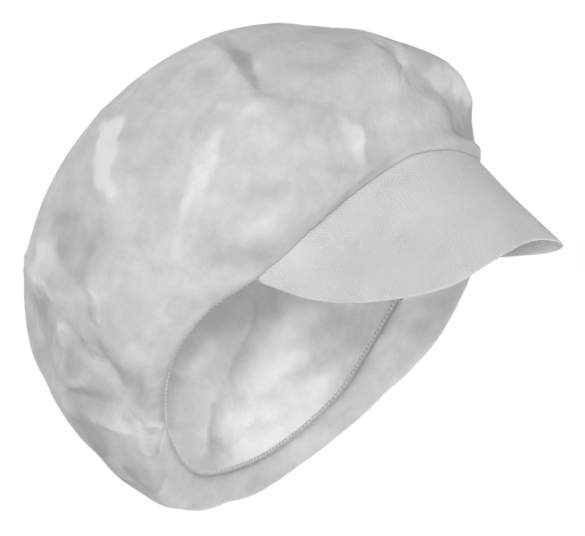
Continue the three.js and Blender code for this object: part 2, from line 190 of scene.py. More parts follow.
def grid_faces(rows: int, cols: int, closed: bool, first: int = 0, flip: bool = False) -> np.ndarray:
    """Quads of a grid of vertices, numbered row by row.

    Args:
        rows: how many rows of vertices.
        cols: how many columns of vertices.
        closed: whether the last column joins the first.
        first: number of the grid's first vertex.
        flip: whether the faces turn the other way.

    Returns:
        (m, 4) vertex numbers.
    """
    j, i = np.meshgrid(np.arange(rows - 1), np.arange(cols if closed else cols - 1), indexing="ij")
    k = (i + 1) % cols
    quad = np.stack([j * cols + i, j * cols + k, (j + 1) * cols + k, (j + 1) * cols + i], -1).reshape(-1, 4)
    return (quad[:, ::-1] if flip else quad) + first


def nearest(points: np.ndarray, normals: np.ndarray, line: np.ndarray) -> tuple[np.ndarray, ...]:
    """How far points are from a line of straight stretches.

    Args:
        points: (n, 3) points.
        normals: (n, 3) outward normals there.
        line: (k, 3) places along the line.

    Returns:
        Distances, distances sideways (above zero on the left of the way, seen from outside) and shares
        of the way along the line.
    """
    best = np.full(len(points), np.inf)
    side = np.zeros(len(points))
    place = np.zeros(len(points))
    for k, (a, b) in enumerate(zip(line[:-1], line[1:])):
        span = b - a
        share = np.clip(((points - a) @ span) / (span @ span), 0, 1)
        away = points - a - share[:, None] * span
        gap = np.linalg.norm(away, axis=-1)
        closer = gap < best
        best = np.where(closer, gap, best)
        side = np.where(closer, dot(np.cross(span / np.linalg.norm(span), away), normals), side)
        place = np.where(closer, (k + share) / (len(line) - 1), place)
    return best, side, place


# Shape of the opening and the bag

@dataclass
class Opening:
    """Edge of the head opening, in its own level frame: x left, y back, z into the bag.

    Forward, half and rise give places of its right half from front to back, in shares of the length.
    """

    length: float = 203.0
    forward: tuple[float, ...] = (0.502, 0.472, 0.394, 0.271, 0.138, 0.0, -0.138, -0.271, -0.384,
                                  -0.458, -0.478)
    half: tuple[float, ...] = (0.0, 0.082, 0.163, 0.229, 0.288, 0.345, 0.411, 0.389, 0.286, 0.123, 0.0)
    rise: tuple[float, ...] = (0.0, 0.010, 0.017, 0.022, 0.020, 0.005, 0.0, -0.010, -0.034, -0.059, -0.069)
    fine: int = 1440
    spacing: float = 2.5
    step: float = 0.2
    run: np.ndarray = field(init=False, repr=False)
    points: np.ndarray = field(init=False, repr=False)

    def __post_init__(self) -> None:
        """Works out a fine loop through the mirrored rows, knots a chord's length apart."""
        rows = np.stack([np.array(self.half), -np.array(self.forward), np.array(self.rise)], -1) * self.length
        loop = np.vstack([rows, (rows * [-1, 1, 1])[-2:0:-1]])
        ext = np.vstack([loop[-2:], loop, loop[:3]])
        knots = np.r_[0, np.cumsum(np.linalg.norm(np.diff(ext, axis=0), axis=1))]
        at = np.linspace(knots[2], knots[2 + len(loop)], self.fine + 1)
        self.points = smooth(knots, ext, at)
        self.run = np.r_[0, np.cumsum(np.linalg.norm(np.diff(self.points, axis=0), axis=1))]

    @property
    def around(self) -> float:
        """Whole length of the edge in millimetres."""
        return float(self.run[-1])

    def at(self, run: np.ndarray) -> np.ndarray:
        """Points of the edge.

        Args:
            run: distances along the edge from the front, by the wearer's left, in millimetres.

        Returns:
            Points in millimetres, one for each distance.
        """
        wrapped = np.mod(run, self.around)
        return np.stack([np.interp(wrapped, self.run, self.points[:, c]) for c in range(3)], -1)

    def out(self, run: np.ndarray) -> np.ndarray:
        """Level outward ways, averaged over 15 mm of the edge.

        Args:
            run: distances along the edge in millimetres.

        Returns:
            Unit vectors, one for each distance.
        """
        total = 0.0
        for k in range(-3, 4):
            spot = run + k * self.spacing
            along = self.at(spot + self.step) - self.at(spot - self.step)
            flat = np.stack([along[..., 1], -along[..., 0], np.zeros(along.shape[:-1])], -1)
            total = total + unit(flat)
        return unit(total)


@dataclass(frozen=True)
class Loop:
    """One level section of the bag, in shares of the bag's reach and depth."""

    front: float
    back: float
    side: float
    tuck: float
    high_front: float
    high_back: float
    high_side: float
    square: float


@dataclass(frozen=True)
class Crease:
    """A straight crease between two places of the bag; push and widths are shares of the reach."""

    turn1: float
    up1: float
    turn2: float
    up2: float
    push: float
    wide_a: float
    wide_b: float


LOOPS = (
    Loop(0.828, 0.885, 0.838, 0.42, 0.140, -0.160, -0.056, 2.0),
    Loop(0.910, 0.942, 0.908, 0.24, 0.262, -0.066, 0.080, 1.95),
    Loop(0.952, 1.0, 0.946, 0.08, 0.364, 0.150, 0.350, 2.0),
    Loop(0.842, 0.958, 0.862, 0.0, 0.648, 0.562, 0.655, 2.05),
    Loop(0.545, 0.715, 0.644, 0.0, 0.992, 0.868, 0.918, 2.1),
    Loop(0.300, 0.334, 0.334, 0.0, 1.058, 0.952, 1.008, 2.0),
)

CREASES = (
    # top edge and level crease of the near side
    Crease(0.838, 0.52, 0.819, 0.285, 0.030, 0.11, 0.06),
    Crease(0.850, 0.46, 0.826, 0.30, -0.024, 0.06, 0.12),
    Crease(0.819, 0.285, 0.856, 0.20, 0.026, 0.12, 0.06),
    # box corner in the middle of the near side
    Crease(0.842, 0.180, 0.863, 0.151, 0.022, 0.10, 0.06),
    Crease(0.863, 0.151, 0.866, 0.055, -0.022, 0.07, 0.09),
    # long facet towards the back
    Crease(0.766, 0.50, 0.738, 0.372, 0.032, 0.08, 0.14),
    Crease(0.738, 0.372, 0.714, 0.315, 0.028, 0.08, 0.13),
    Crease(0.740, 0.57, 0.724, 0.444, 0.020, 0.12, 0.08),
    # V-shaped facet of the near side
    Crease(0.795, 0.280, 0.744, 0.200, 0.028, 0.12, 0.07),
    Crease(0.757, 0.300, 0.742, 0.200, -0.020, 0.09, 0.09),
    # ridge, deep slanting fold and two puffs at the front
    Crease(0.925, 0.30, 0.914, 0.150, 0.028, 0.08, 0.10),
    Crease(0.934, 0.30, 0.944, 0.190, -0.040, 0.09, 0.07),
    Crease(0.944, 0.190, 0.990, 0.150, -0.040, 0.09, 0.08),
    Crease(0.965, 0.270, 0.985, 0.255, 0.030, 0.12, 0.10),
    Crease(0.005, 0.235, 0.030, 0.220, 0.030, 0.10, 0.11),
    # back of the near side: ridge, hollow beside it and small bulge
    Crease(0.639, 0.500, 0.640, 0.430, 0.026, 0.07, 0.09),
    Crease(0.640, 0.430, 0.654, 0.335, 0.028, 0.09, 0.09),
    Crease(0.688, 0.385, 0.690, 0.335, -0.030, 0.13, 0.13),
    Crease(0.664, 0.45, 0.666, 0.42, 0.022, 0.08, 0.09),
    # folds running down to the hem at the back of the near side
    Crease(0.640, 0.320, 0.636, 0.110, -0.034, 0.09, 0.08),
    Crease(0.640, 0.325, 0.612, 0.310, 0.024, 0.08, 0.07),
    Crease(0.588, 0.330, 0.628, 0.220, 0.028, 0.08, 0.08),
    Crease(0.603, 0.270, 0.616, 0.150, -0.026, 0.09, 0.08),
    Crease(0.584, 0.285, 0.606, 0.150, 0.028, 0.08, 0.08),
    Crease(0.606, 0.150, 0.596, 0.085, 0.018, 0.08, 0.08),
    Crease(0.571, 0.300, 0.530, 0.270, -0.030, 0.10, 0.09),
    Crease(0.548, 0.085, 0.506, 0.120, 0.018, 0.09, 0.09),
    # far side, seen from inside as one long fold
    Crease(0.430, 0.090, 0.405, 0.330, -0.036, 0.10, 0.08),
    Crease(0.390, 0.100, 0.372, 0.300, 0.026, 0.10, 0.12),
    # folds of the far side, back and top
    Crease(0.090, 0.330, 0.125, 0.170, -0.034, 0.09, 0.10),
    Crease(0.150, 0.450, 0.185, 0.240, 0.030, 0.12, 0.08),
    Crease(0.185, 0.240, 0.150, 0.130, 0.024, 0.09, 0.09),
    Crease(0.235, 0.280, 0.255, 0.110, -0.032, 0.10, 0.09),
    Crease(0.285, 0.500, 0.270, 0.330, 0.028, 0.10, 0.12),
    Crease(0.325, 0.330, 0.345, 0.160, -0.030, 0.10, 0.09),
    Crease(0.455, 0.430, 0.470, 0.220, 0.030, 0.10, 0.10),
    Crease(0.500, 0.480, 0.545, 0.400, -0.028, 0.12, 0.09),
    Crease(0.360, 0.640, 0.560, 0.680, -0.022, 0.12, 0.12),
    Crease(0.060, 0.560, 0.160, 0.700, 0.024, 0.12, 0.12),
    Crease(0.900, 0.700, 0.740, 0.740, -0.020, 0.12, 0.12),
)


@dataclass(frozen=True)
class Fold:
    """A crisp fold: places (turn, up) along it, push and side widths in millimetres, and the painted shading
    of each side.

    Side a lies on the left of the way along the line, seen from outside. Tones are painted light and shade:
    from -1, painted shade where the cloth lies double or turns away, to 1, painted light where a single layer
    is stretched smooth.
    """

    line: tuple[tuple[float, float], ...]
    push: float
    wide_a: float
    wide_b: float
    painted_shading_a: float
    painted_shading_b: float


@dataclass(frozen=True)
class Patch:
    """A flat facet or shadow between folds: corners (turn, up), tone of painted light (above zero) or painted
    shade (below zero), and softness of its rim in millimetres.
    """

    corners: tuple[tuple[float, float], ...]
    tone: float
    soft: float


# The last two numbers of each fold are its painted light (above zero) and painted shade (below zero) on sides
# a and b.
FOLDS = (
    # long fold of the far side, seen from inside
    Fold(((0.289, 0.483), (0.308, 0.425), (0.325, 0.397), (0.347, 0.369), (0.367, 0.341), (0.386, 0.295),
          (0.406, 0.237)), -3, 13.5, 12, 0, -0.88),
    Fold(((0.339, 0.288), (0.300, 0.301), (0.272, 0.250)), 0.66, 15, 15, -0.24, 0.24),
    # two folds that run down from the top and meet, and the level one after them
    Fold(((0.836, 0.476), (0.828, 0.376), (0.825, 0.288)), 0.88, 7.5, 21, -0.48, 0.32),
    Fold(((0.853, 0.454), (0.839, 0.369), (0.825, 0.288)), -0.66, 12, 7.5, 0.2, -0.4),
    Fold(((0.825, 0.288), (0.844, 0.250), (0.867, 0.212)), 0.83, 10.5, 13.5, 0.36, -0.4),
    # box corner in the middle of the near side
    Fold(((0.864, 0.194), (0.869, 0.170), (0.881, 0.152)), 0.55, 4.5, 12, -0.16, 0.4),
    Fold(((0.878, 0.158), (0.872, 0.129), (0.869, 0.106)), 0.83, 13.5, 10.5, -0.48, 0.48),
    Fold(((0.839, 0.146), (0.864, 0.106)), -0.44, 9, 9, 0.08, -0.32),
    # V-shaped facet
    Fold(((0.797, 0.275), (0.786, 0.243), (0.775, 0.224), (0.764, 0.206)), 0.83, 13.5, 12, -0.32, 0.32),
    Fold(((0.775, 0.275), (0.761, 0.231), (0.739, 0.194)), -0.39, 12, 13.5, 0.16, -0.08),
    # long facet towards the back
    Fold(((0.761, 0.468), (0.742, 0.390), (0.725, 0.335), (0.711, 0.308)), 0.83, 15, 13.5, -0.12, 0.4),
    Fold(((0.739, 0.513), (0.725, 0.404), (0.711, 0.328)), -0.5, 9, 12, 0.24, -0.2),
    # front: ridge, slanting fold and edge of a puff
    Fold(((0.947, 0.335), (0.936, 0.250), (0.919, 0.194)), 0.72, 7.5, 9, 0.32, 0.08),
    Fold(((0.944, 0.275), (0.953, 0.212), (0.983, 0.164), (0.997, 0.135), (0.981, 0.052)), -1.21, 7.5, 9,
         -0.48, -0.56),
    Fold(((0.986, 0.231), (0.000, 0.158)), 0.55, 12, 7.5, 0.32, -0.24),
    Fold(((0.914, 0.335), (0.897, 0.262)), 0.44, 6, 6, 0.16, -0.24),
    # back of the near side
    Fold(((0.640, 0.480), (0.644, 0.439), (0.650, 0.383), (0.653, 0.328)), 0.99, 10.5, 10.5, 0.08, -0.56),
    Fold(((0.639, 0.335), (0.633, 0.315), (0.628, 0.301)), 0.66, 7.5, 7.5, 0.4, -0.32),
    Fold(((0.650, 0.231), (0.644, 0.206), (0.636, 0.170), (0.631, 0.129)), -0.72, 6, 13.5, -0.56, 0.12),
    Fold(((0.639, 0.250), (0.647, 0.200), (0.661, 0.164), (0.692, 0.117)), 0.66, 10.5, 12, -0.16, 0.24),
    Fold(((0.603, 0.250), (0.614, 0.176), (0.614, 0.117), (0.600, 0.060)), -0.4, 9, 7.5, 0.08, -0.2),
    Fold(((0.583, 0.335), (0.608, 0.269), (0.628, 0.224)), 0.83, 7.5, 16.5, 0.4, -0.25),
    Fold(((0.594, 0.250), (0.600, 0.194), (0.600, 0.140)), 0.66, 6, 10.5, 0.24, -0.4),
    Fold(((0.567, 0.182), (0.556, 0.146), (0.536, 0.112)), 0.72, 10.5, 7.5, -0.48, 0.24),
    Fold(((0.544, 0.036), (0.550, 0.078), (0.536, 0.112)), 0.72, 9, 10.5, 0.4, -0.4),
    # blade, slanting lines and ladder of small wrinkles at the back of the near side
    Fold(((0.639, 0.328), (0.628, 0.295), (0.608, 0.295)), 0.5, 2, 4, 0.8, -0.3),
    Fold(((0.647, 0.425), (0.653, 0.376), (0.653, 0.328)), 0.5, 5, 3, -0.9, 0.9),
    Fold(((0.636, 0.288), (0.636, 0.237), (0.639, 0.206), (0.644, 0.188)), -0.5, 4, 4, -0.6, 0.3),
    Fold(((0.631, 0.308), (0.631, 0.250), (0.631, 0.200), (0.625, 0.152), (0.617, 0.089)), 0.45, 4, 5,
         0.05, -0.4),
    Fold(((0.561, 0.369), (0.606, 0.269), (0.628, 0.212)), 0.5, 4, 4, 0.8, 0.0),
    Fold(((0.594, 0.243), (0.600, 0.194), (0.600, 0.152), (0.600, 0.106)), 0.45, 3, 5, 0.5, -0.3),
    Fold(((0.567, 0.328), (0.536, 0.301), (0.561, 0.212), (0.569, 0.164)), 0.45, 5, 4, -0.5, 0.3),
    Fold(((0.531, 0.224), (0.544, 0.158), (0.533, 0.117)), 0.5, 4, 4, 0.5, -0.6),
    Fold(((0.611, 0.152), (0.608, 0.084), (0.589, 0.025)), -0.5, 3, 4, -0.8, 0.2),
    *(Fold(((0.672 - 0.003 * k, 0.271 - 0.006 * k), (0.670 - 0.003 * k, 0.240 - 0.004 * k)),
           0.6, 2.2, 2.2, 0.7, -1.3) for k in range(4)),
    # small overlap of the hem
    Fold(((0.606, 0.050), (0.598, 0.025), (0.589, 0.002)), 0.8, 2.2, 2.2, 1.2, -1.0),
    Fold(((0.574, 0.045), (0.582, 0.025), (0.589, 0.002)), 0.8, 2.2, 2.2, -1.0, 1.2),
    # short pleats that run into the hem at the back of the near side
    *(Fold(((0.610 - 0.0042 * k, 0.118), (0.604 - 0.0042 * k, 0.072), (0.598 - 0.0042 * k, 0.026)),
           0.8, 2.0, 2.0, 0.8, -0.9) for k in range(6)),
    # creases of the back, the far side and the top
    Fold(((0.460, 0.12), (0.470, 0.25), (0.455, 0.40)), 1.5, 11, 14, 0.35, -0.45),
    Fold(((0.500, 0.15), (0.515, 0.30), (0.505, 0.44)), -1.3, 12, 9, -0.45, 0.30),
    Fold(((0.480, 0.45), (0.520, 0.60), (0.600, 0.72)), 1.5, 14, 11, 0.40, -0.40),
    Fold(((0.400, 0.55), (0.420, 0.70), (0.500, 0.82)), -1.4, 12, 14, -0.40, 0.35),
    Fold(((0.300, 0.60), (0.330, 0.75), (0.250, 0.86)), 1.4, 12, 12, 0.35, -0.40),
    Fold(((0.220, 0.45), (0.200, 0.60), (0.240, 0.72)), -1.4, 12, 10, -0.40, 0.30),
    Fold(((0.120, 0.15), (0.135, 0.30), (0.120, 0.42)), 1.5, 10, 14, 0.40, -0.45),
    Fold(((0.170, 0.18), (0.160, 0.32), (0.180, 0.46)), -1.3, 12, 9, -0.40, 0.30),
    Fold(((0.070, 0.20), (0.080, 0.34), (0.060, 0.50)), 1.3, 12, 12, 0.35, -0.40),
    Fold(((0.040, 0.45), (0.090, 0.60), (0.160, 0.70)), -1.4, 14, 10, -0.40, 0.35),
    Fold(((0.950, 0.62), (0.050, 0.74), (0.200, 0.80)), 1.3, 12, 12, 0.35, -0.35),
    Fold(((0.700, 0.68), (0.620, 0.78), (0.500, 0.88)), -1.3, 12, 12, -0.35, 0.35),
    Fold(((0.840, 0.66), (0.780, 0.77), (0.700, 0.88)), 1.3, 12, 12, 0.35, -0.35),
)

# One row for each facet or shadow that can be told apart in the photo, with its tone: painted light on lit
# facets, painted shade on dim facets and in shadows.
PATCHES = (
    Patch(((0.742, 0.536), (0.756, 0.447), (0.722, 0.321), (0.719, 0.369)), 1.1, 3.0),
    Patch(((0.775, 0.275), (0.797, 0.269), (0.764, 0.206), (0.742, 0.194)), 0.3, 4.0),
    Patch(((0.681, 0.476), (0.700, 0.390), (0.692, 0.315), (0.672, 0.282), (0.669, 0.376)), -0.85, 4.0),
    Patch(((0.660, 0.470), (0.672, 0.410), (0.660, 0.330), (0.653, 0.330), (0.645, 0.430)), 0.5, 3.0),
    Patch(((0.658, 0.476), (0.672, 0.432), (0.667, 0.397), (0.656, 0.432)), 0.6, 3.0),
    Patch(((0.636, 0.418), (0.647, 0.362), (0.636, 0.348), (0.619, 0.411)), -0.6, 2.0),
    Patch(((0.600, 0.300), (0.628, 0.206), (0.603, 0.165), (0.590, 0.250)), -0.55, 5.0),
    Patch(((0.636, 0.315), (0.644, 0.188), (0.628, 0.212), (0.610, 0.292)), -0.8, 4.0),
    Patch(((0.644, 0.188), (0.622, 0.046), (0.625, 0.152), (0.628, 0.206)), -0.3, 3.0),
    Patch(((0.644, 0.188), (0.660, 0.100), (0.640, 0.030), (0.622, 0.046)), -0.5, 3.0),
    Patch(((0.561, 0.315), (0.594, 0.243), (0.581, 0.188), (0.544, 0.218)), -0.8, 3.0),
    Patch(((0.564, 0.170), (0.569, 0.146), (0.536, 0.112), (0.533, 0.158)), -0.7, 2.5),
    Patch(((0.617, 0.383), (0.614, 0.341), (0.633, 0.330), (0.636, 0.400)), -0.6, 3.0),
    Patch(((0.608, 0.295), (0.617, 0.308), (0.631, 0.308), (0.628, 0.295)), 0.4, 2.0),
    Patch(((0.567, 0.328), (0.594, 0.301), (0.600, 0.290), (0.561, 0.369)), 0.7, 3.0),
    Patch(((0.511, 0.188), (0.519, 0.224), (0.531, 0.224), (0.544, 0.158)), -0.7, 3.0),
    Patch(((0.839, 0.476), (0.853, 0.461), (0.828, 0.301)), -0.4, 2.0),
    Patch(((0.825, 0.282), (0.858, 0.218), (0.850, 0.194), (0.825, 0.237)), -0.3, 5.0),
    Patch(((0.867, 0.188), (0.878, 0.158), (0.869, 0.129), (0.858, 0.170)), 0.4, 3.0),
    Patch(((0.956, 0.224), (0.969, 0.231), (0.989, 0.182), (0.972, 0.164)), 0.9, 2.5),
    Patch(((0.989, 0.231), (0.014, 0.250), (0.036, 0.231), (0.003, 0.158)), 0.9, 2.5),
    Patch(((0.989, 0.158), (0.985, 0.060), (0.046, 0.110), (0.038, 0.205)), -0.8, 3.0),
    Patch(((0.953, 0.335), (0.945, 0.335), (0.917, 0.185), (0.926, 0.185)), 0.6, 2.0),
    Patch(((0.943, 0.330), (0.928, 0.335), (0.912, 0.240), (0.918, 0.200)), -0.7, 3.0),
    # painted shade on the outer band of the far side and on two spots of the near side
    Patch(((0.150, 0.120), (0.150, 0.060), (0.245, 0.050), (0.245, 0.120)), -0.35, 5.0),
    Patch(((0.964, 0.362), (0.972, 0.262), (0.956, 0.243), (0.950, 0.308)), -0.35, 4.0),
    Patch(((0.739, 0.194), (0.764, 0.206), (0.764, 0.123), (0.736, 0.170)), -0.35, 4.0),
    # painted shadow on the inside of the bag, high up under the peak and the near rim
    Patch(((0.350, 0.620), (0.415, 0.620), (0.415, 0.350), (0.350, 0.470)), -1.1, 10.0),
    Patch(((0.290, 0.600), (0.350, 0.620), (0.350, 0.470), (0.290, 0.420)), -1.1, 12.0),
    Patch(((0.222, 0.560), (0.290, 0.600), (0.290, 0.420), (0.222, 0.300)), -1.1, 14.0),
    # painted pool of light on the lower inside of the far wall
    Patch(((0.400, 0.200), (0.375, 0.330), (0.340, 0.375), (0.290, 0.370), (0.285, 0.200), (0.350, 0.120)),
          0.9, 16.0),
    # painted shade on the inside of the bag just within the near edge
    Patch(((0.470, 0.430), (0.420, 0.520), (0.370, 0.540), (0.378, 0.440), (0.440, 0.330)), -0.8, 12.0),
)


# Across a crease or fold: how round its edge is, how fast height and painted shading fade, and where they
# end.
EDGE_ROUNDING = 0.002
CREASE_FALL = 1.6
CREASE_END = 2.4
FOLD_FALL = 2.2
FOLD_END = 2.2
TONE_FALL = 1.1
SIDE_BLEND = 0.5
# Along a fold: the share of its length over which its ends fade, and the least that stays there.
END_FADE = 0.12
END_LEAST = 0.15
# Wobble of folds and patches in millimetres, its scale and first seed, and the share that folds take.
WOBBLE, WOBBLE_SCALE, WOBBLE_SEED = 1.6, 9, 300
FOLD_WOBBLE = 0.45
# How far in millimetres past its line a crease, and past its corners a patch, is worked out.
CREASE_MARGIN = 60
PATCH_MARGIN = 8
# Length of the small steps from which normals are worked out, as a share of turn or up.
NORMAL_STEP = 0.004
# Crumples: height, scale in millimetres and seed of the broad, middle and fine facets.
CRUMPLES = ((1.3, 44, 3), (0.9, 24, 5), (0.14, 12, 8))
# Fine gathers at the hem: count, height, where they begin and end in millimetres, and a phase.
FINE_GATHERS = ((57, 0.32, 2.5, 18.0, 0.4), (91, 0.26, 1.5, 10.0, 2.9))
# Mottling of the cloth's tone: kind of noise, strength, scale in millimetres and seed.
MOTTLES = ((soft_noise, 0.22, 17, 21), (soft_noise, 0.12, 6, 22), (facet_noise, 0.30, 30, 23),
           (facet_noise, 0.18, 13, 24))


@dataclass
class Bag:
    """The crown bag: guide rows from the opening to the top, creases, gathers and fine crumples.

    Reach is half its length, depth its height over the opening and limit the greatest crease height, in
    millimetres. The roll is the cloth's first bulge past the edge, at the front, sides and back. On the
    near side, between near_from and near_to, the rows are lifted. Creases ease in above ease_from, crisp
    folds over crisp_run and crumples over calm_run, and crumples fade at the top over top_fade.
    """

    opening: Opening
    reach: float = 128.0
    depth: float = 125.0
    limit: float = 6.5
    roll_out: tuple[float, float, float] = (0.045, 0.085, 0.055)
    roll_lift: tuple[float, float, float] = (0.050, -0.036, -0.030)
    top: tuple[float, float] = (-0.016, 1.0)
    near_lift: tuple[float, ...] = (13.0, 6.0, 0.0, 0.0, 0.0, 0.0)
    near_roll_lift: float = 5.0
    near_from: tuple[float, float] = (0.57, 0.05)
    near_to: tuple[float, float] = (0.80, 0.06)
    gathers: int = 22
    gather_height: float = 1.7
    gather_run: float = 34.0
    ease_from: float = 0.02
    ease_over: float = 0.22
    crisp_run: float = 12.0
    calm_least: float = 0.15
    calm_from: float = 15.0
    calm_run: float = 75.0
    top_end: float = 1.02
    top_fade: float = 0.06
    highest_normal: float = 0.985
    hem_shade: float = 1.1
    hem_shade_run: float = 2.2
    tone_share: float = 0.4
    wall: float = 0.36
    around: int = 468
    rows: int = 156
    knots: np.ndarray = field(init=False, repr=False)

    def __post_init__(self) -> None:
        """Sets the knots: the mean distance from one guide row to the next, over 72 turns."""
        rows = self.guides(np.arange(72) / 72)
        mean = np.linalg.norm(np.diff(rows, axis=0), axis=-1).mean(1)
        self.knots = np.r_[0, np.cumsum(mean)]

    @staticmethod
    def round_value(angle: np.ndarray, values: tuple) -> np.ndarray:
        """A value that changes smoothly round the bag.

        Args:
            angle: level angles from the front, in radians.
            values: its value at the front, at the sides and at the back.

        Returns:
            One value for each angle.
        """
        c = np.cos(angle)
        return values[1] + np.where(c > 0, values[0] - values[1], values[2] - values[1]) * c * c

    def guides(self, turn: np.ndarray) -> np.ndarray:
        """Guide points for turns round the bag.

        Args:
            turn: shares of the way round from the front, by the wearer's left.

        Returns:
            (rows, turns, 3): edge, roll, loops and top, in millimetres.
        """
        run = turn * self.opening.around
        edge = self.opening.at(run)
        even = turn * 2 * math.pi
        start = np.arctan2(edge[:, 0], -edge[:, 1])
        start = start + 2 * math.pi * np.round((even - start) / (2 * math.pi))
        out = self.round_value(start, self.roll_out) * self.reach
        roll = edge + self.opening.out(run) * out[:, None]
        roll[:, 2] += self.round_value(start, self.roll_lift) * self.depth
        near = (np.clip((turn - self.near_from[0]) / self.near_from[1], 0, 1)
                * np.clip((self.near_to[0] - turn) / self.near_to[1], 0, 1))
        near = near * near * (3 - 2 * near)
        roll[:, 2] += self.near_roll_lift * near
        rows = [edge, roll]
        for k, loop in enumerate(LOOPS):
            share = min(1.0, (k + 1) / 3)
            angle = start + (even - start) * share
            c, s = np.cos(angle), np.sin(angle)
            power = 2 / loop.square
            x = loop.side * self.reach * np.sign(s) * np.abs(s) ** power
            y = -np.where(c > 0, loop.front, loop.back) * self.reach * np.sign(c) * np.abs(c) ** power
            z = self.round_value(angle, (loop.high_front, loop.high_side, loop.high_back)) * self.depth
            tuck = loop.tuck * np.where((x < 0) & (y < 0), np.sin(2 * angle) ** 2, 0.0)
            x = x + (edge[:, 0] - x) * tuck
            y = y + (edge[:, 1] - y) * tuck
            z = z + near * self.near_lift[k]
            rows.append(np.stack([x, y, z], -1))
        rows.append(np.tile([0.0, -self.top[0] * self.reach, self.top[1] * self.depth], (len(turn), 1)))
        return np.array(rows)

    def plain(self, turn: np.ndarray, up: np.ndarray) -> np.ndarray:
        """Plain surface: a smooth curve through each turn's guide points and on over the top.

        Args:
            turn: (n) turns.
            up: (m) shares of the way from the opening to the top.

        Returns:
            (m, n, 3) points.
        """
        rows = np.concatenate([self.guides(turn), self.guides(np.mod(turn + 0.5, 1))[-2:-1]])
        knots = self.knots / self.knots[-1]
        return smooth(np.r_[knots, 2 - knots[-2]], rows, up)

    def normal(self, turn: np.ndarray, up: np.ndarray) -> np.ndarray:
        """Outward normals: the cross product of small steps round and up the plain surface.

        Args:
            turn: (n) turns.
            up: (m) shares of the way to the top.

        Returns:
            (m, n, 3) unit vectors.
        """
        step = NORMAL_STEP
        around = self.plain(np.mod(turn + step, 1), up) - self.plain(np.mod(turn - step, 1), up)
        rise = self.plain(turn, np.minimum(1, up + step)) - self.plain(turn, np.maximum(0, up - step))
        return unit(np.cross(around, rise))

    def crease_height(self, points: np.ndarray, normals: np.ndarray) -> np.ndarray:
        """Summed height of all creases: a soft edge that fades to each side and past its ends.

        Args:
            points: surface points in millimetres.
            normals: outward normals there.

        Returns:
            Heights in millimetres, one for each point.
        """
        total = np.zeros(points.shape[:-1])
        for c in CREASES:
            line = self.path(((c.turn1, c.up1), (c.turn2, c.up2)), 6)
            reach = CREASE_MARGIN + np.linalg.norm(line[0] - line[-1])
            near = np.linalg.norm(points - line[len(line) // 2], axis=-1) < reach
            gap, side, _ = nearest(points[near], normals[near], line)
            s = gap / (np.where(side > 0, c.wide_a, c.wide_b) * self.reach)
            soft = np.sqrt(s * s + EDGE_ROUNDING) - math.sqrt(EDGE_ROUNDING)
            push = c.push * self.reach * np.exp(-CREASE_FALL * soft * (0.7 + 0.6 * s))
            total[near] += np.where(s > CREASE_END, 0, push)
        return total

    def path(self, line: tuple, cuts: int = 3) -> np.ndarray:
        """Places of a line on the plain surface.

        Args:
            line: (turn, up) places.
            cuts: how many parts each stretch between two places is cut into.

        Returns:
            (cuts * (places - 1) + 1, 3) points in millimetres.
        """
        given = np.arange(len(line))
        at = np.linspace(0, len(line) - 1, cuts * (len(line) - 1) + 1)
        turns = np.interp(at, given, np.unwrap(np.array([t for t, _ in line]), period=1.0))
        ups = np.interp(at, given, np.array([u for _, u in line]))
        every = np.arange(len(at))
        return self.plain(np.mod(turns, 1), ups)[every, every]

    def fold_field(self, fold: Fold, points: np.ndarray, ragged: np.ndarray, normals: np.ndarray,
                   height: np.ndarray, tone: np.ndarray) -> None:
        """Adds one crisp fold to the fields: its height falls off evenly to nothing at each side's width.

        So it reads as two flat faces that meet in an edge.

        Args:
            fold: the fold.
            points: surface points in millimetres.
            ragged: the same points with a small wobble.
            normals: outward normals there.
            height: field of heights that is added to.
            tone: field of painted light and shade that is added to.
        """
        line = self.path(fold.line)
        middle = line.mean(0)
        reach = np.linalg.norm(line - middle, axis=-1).max() + FOLD_END * max(fold.wide_a, fold.wide_b)
        near = np.linalg.norm(points - middle, axis=-1) < reach
        wobbly = ragged[near] * FOLD_WOBBLE + points[near] * (1 - FOLD_WOBBLE)
        gap, side, place = nearest(wobbly, normals[near], line)
        wide = np.where(side > 0, fold.wide_a, fold.wide_b)
        ends = np.clip(np.minimum(place, 1 - place) / END_FADE, END_LEAST, 1)
        fall = (np.exp(-FOLD_FALL * gap / wide) - math.exp(-FOLD_FALL)) * (gap < wide)
        height[near] += fold.push * fall * ends
        # painted light and shade on the fold's two sides
        mix = 0.5 + 0.5 * np.tanh(side / SIDE_BLEND)
        fade = np.exp(-TONE_FALL * gap / wide) * np.clip((2 * wide - gap) / wide, 0, 1) * ends
        tone[near] += (fold.painted_shading_b + (fold.painted_shading_a - fold.painted_shading_b) * mix) * fade

    def patch_field(self, patch: Patch, points: np.ndarray, ragged: np.ndarray, tone: np.ndarray) -> None:
        """Adds one patch's painted light or shade to the tones: it rises from its rim inwards by the distance
        to its nearest side.

        Args:
            patch: the patch, whose first three corners are not in line.
            points: surface points in millimetres.
            ragged: the same points with a small wobble.
            tone: field of painted light and shade that is added to.
        """
        corner = self.path(patch.corners, 1)
        middle = corner.mean(0)
        face = unit(np.cross(corner[1] - corner[0], corner[2] - corner[0]))
        reach = np.linalg.norm(corner - middle, axis=-1).max() + PATCH_MARGIN
        near = np.linalg.norm(points - middle, axis=-1) < reach
        inside = np.full(int(near.sum()), np.inf)
        for a, b in zip(corner, np.roll(corner, -1, axis=0)):
            inward = unit(np.cross(face, b - a))
            inward = inward * np.sign((middle - a) @ inward)
            inside = np.minimum(inside, (ragged[near] - a) @ inward)
        tone[near] += patch.tone * np.clip(inside / patch.soft + 0.5, 0, 1)

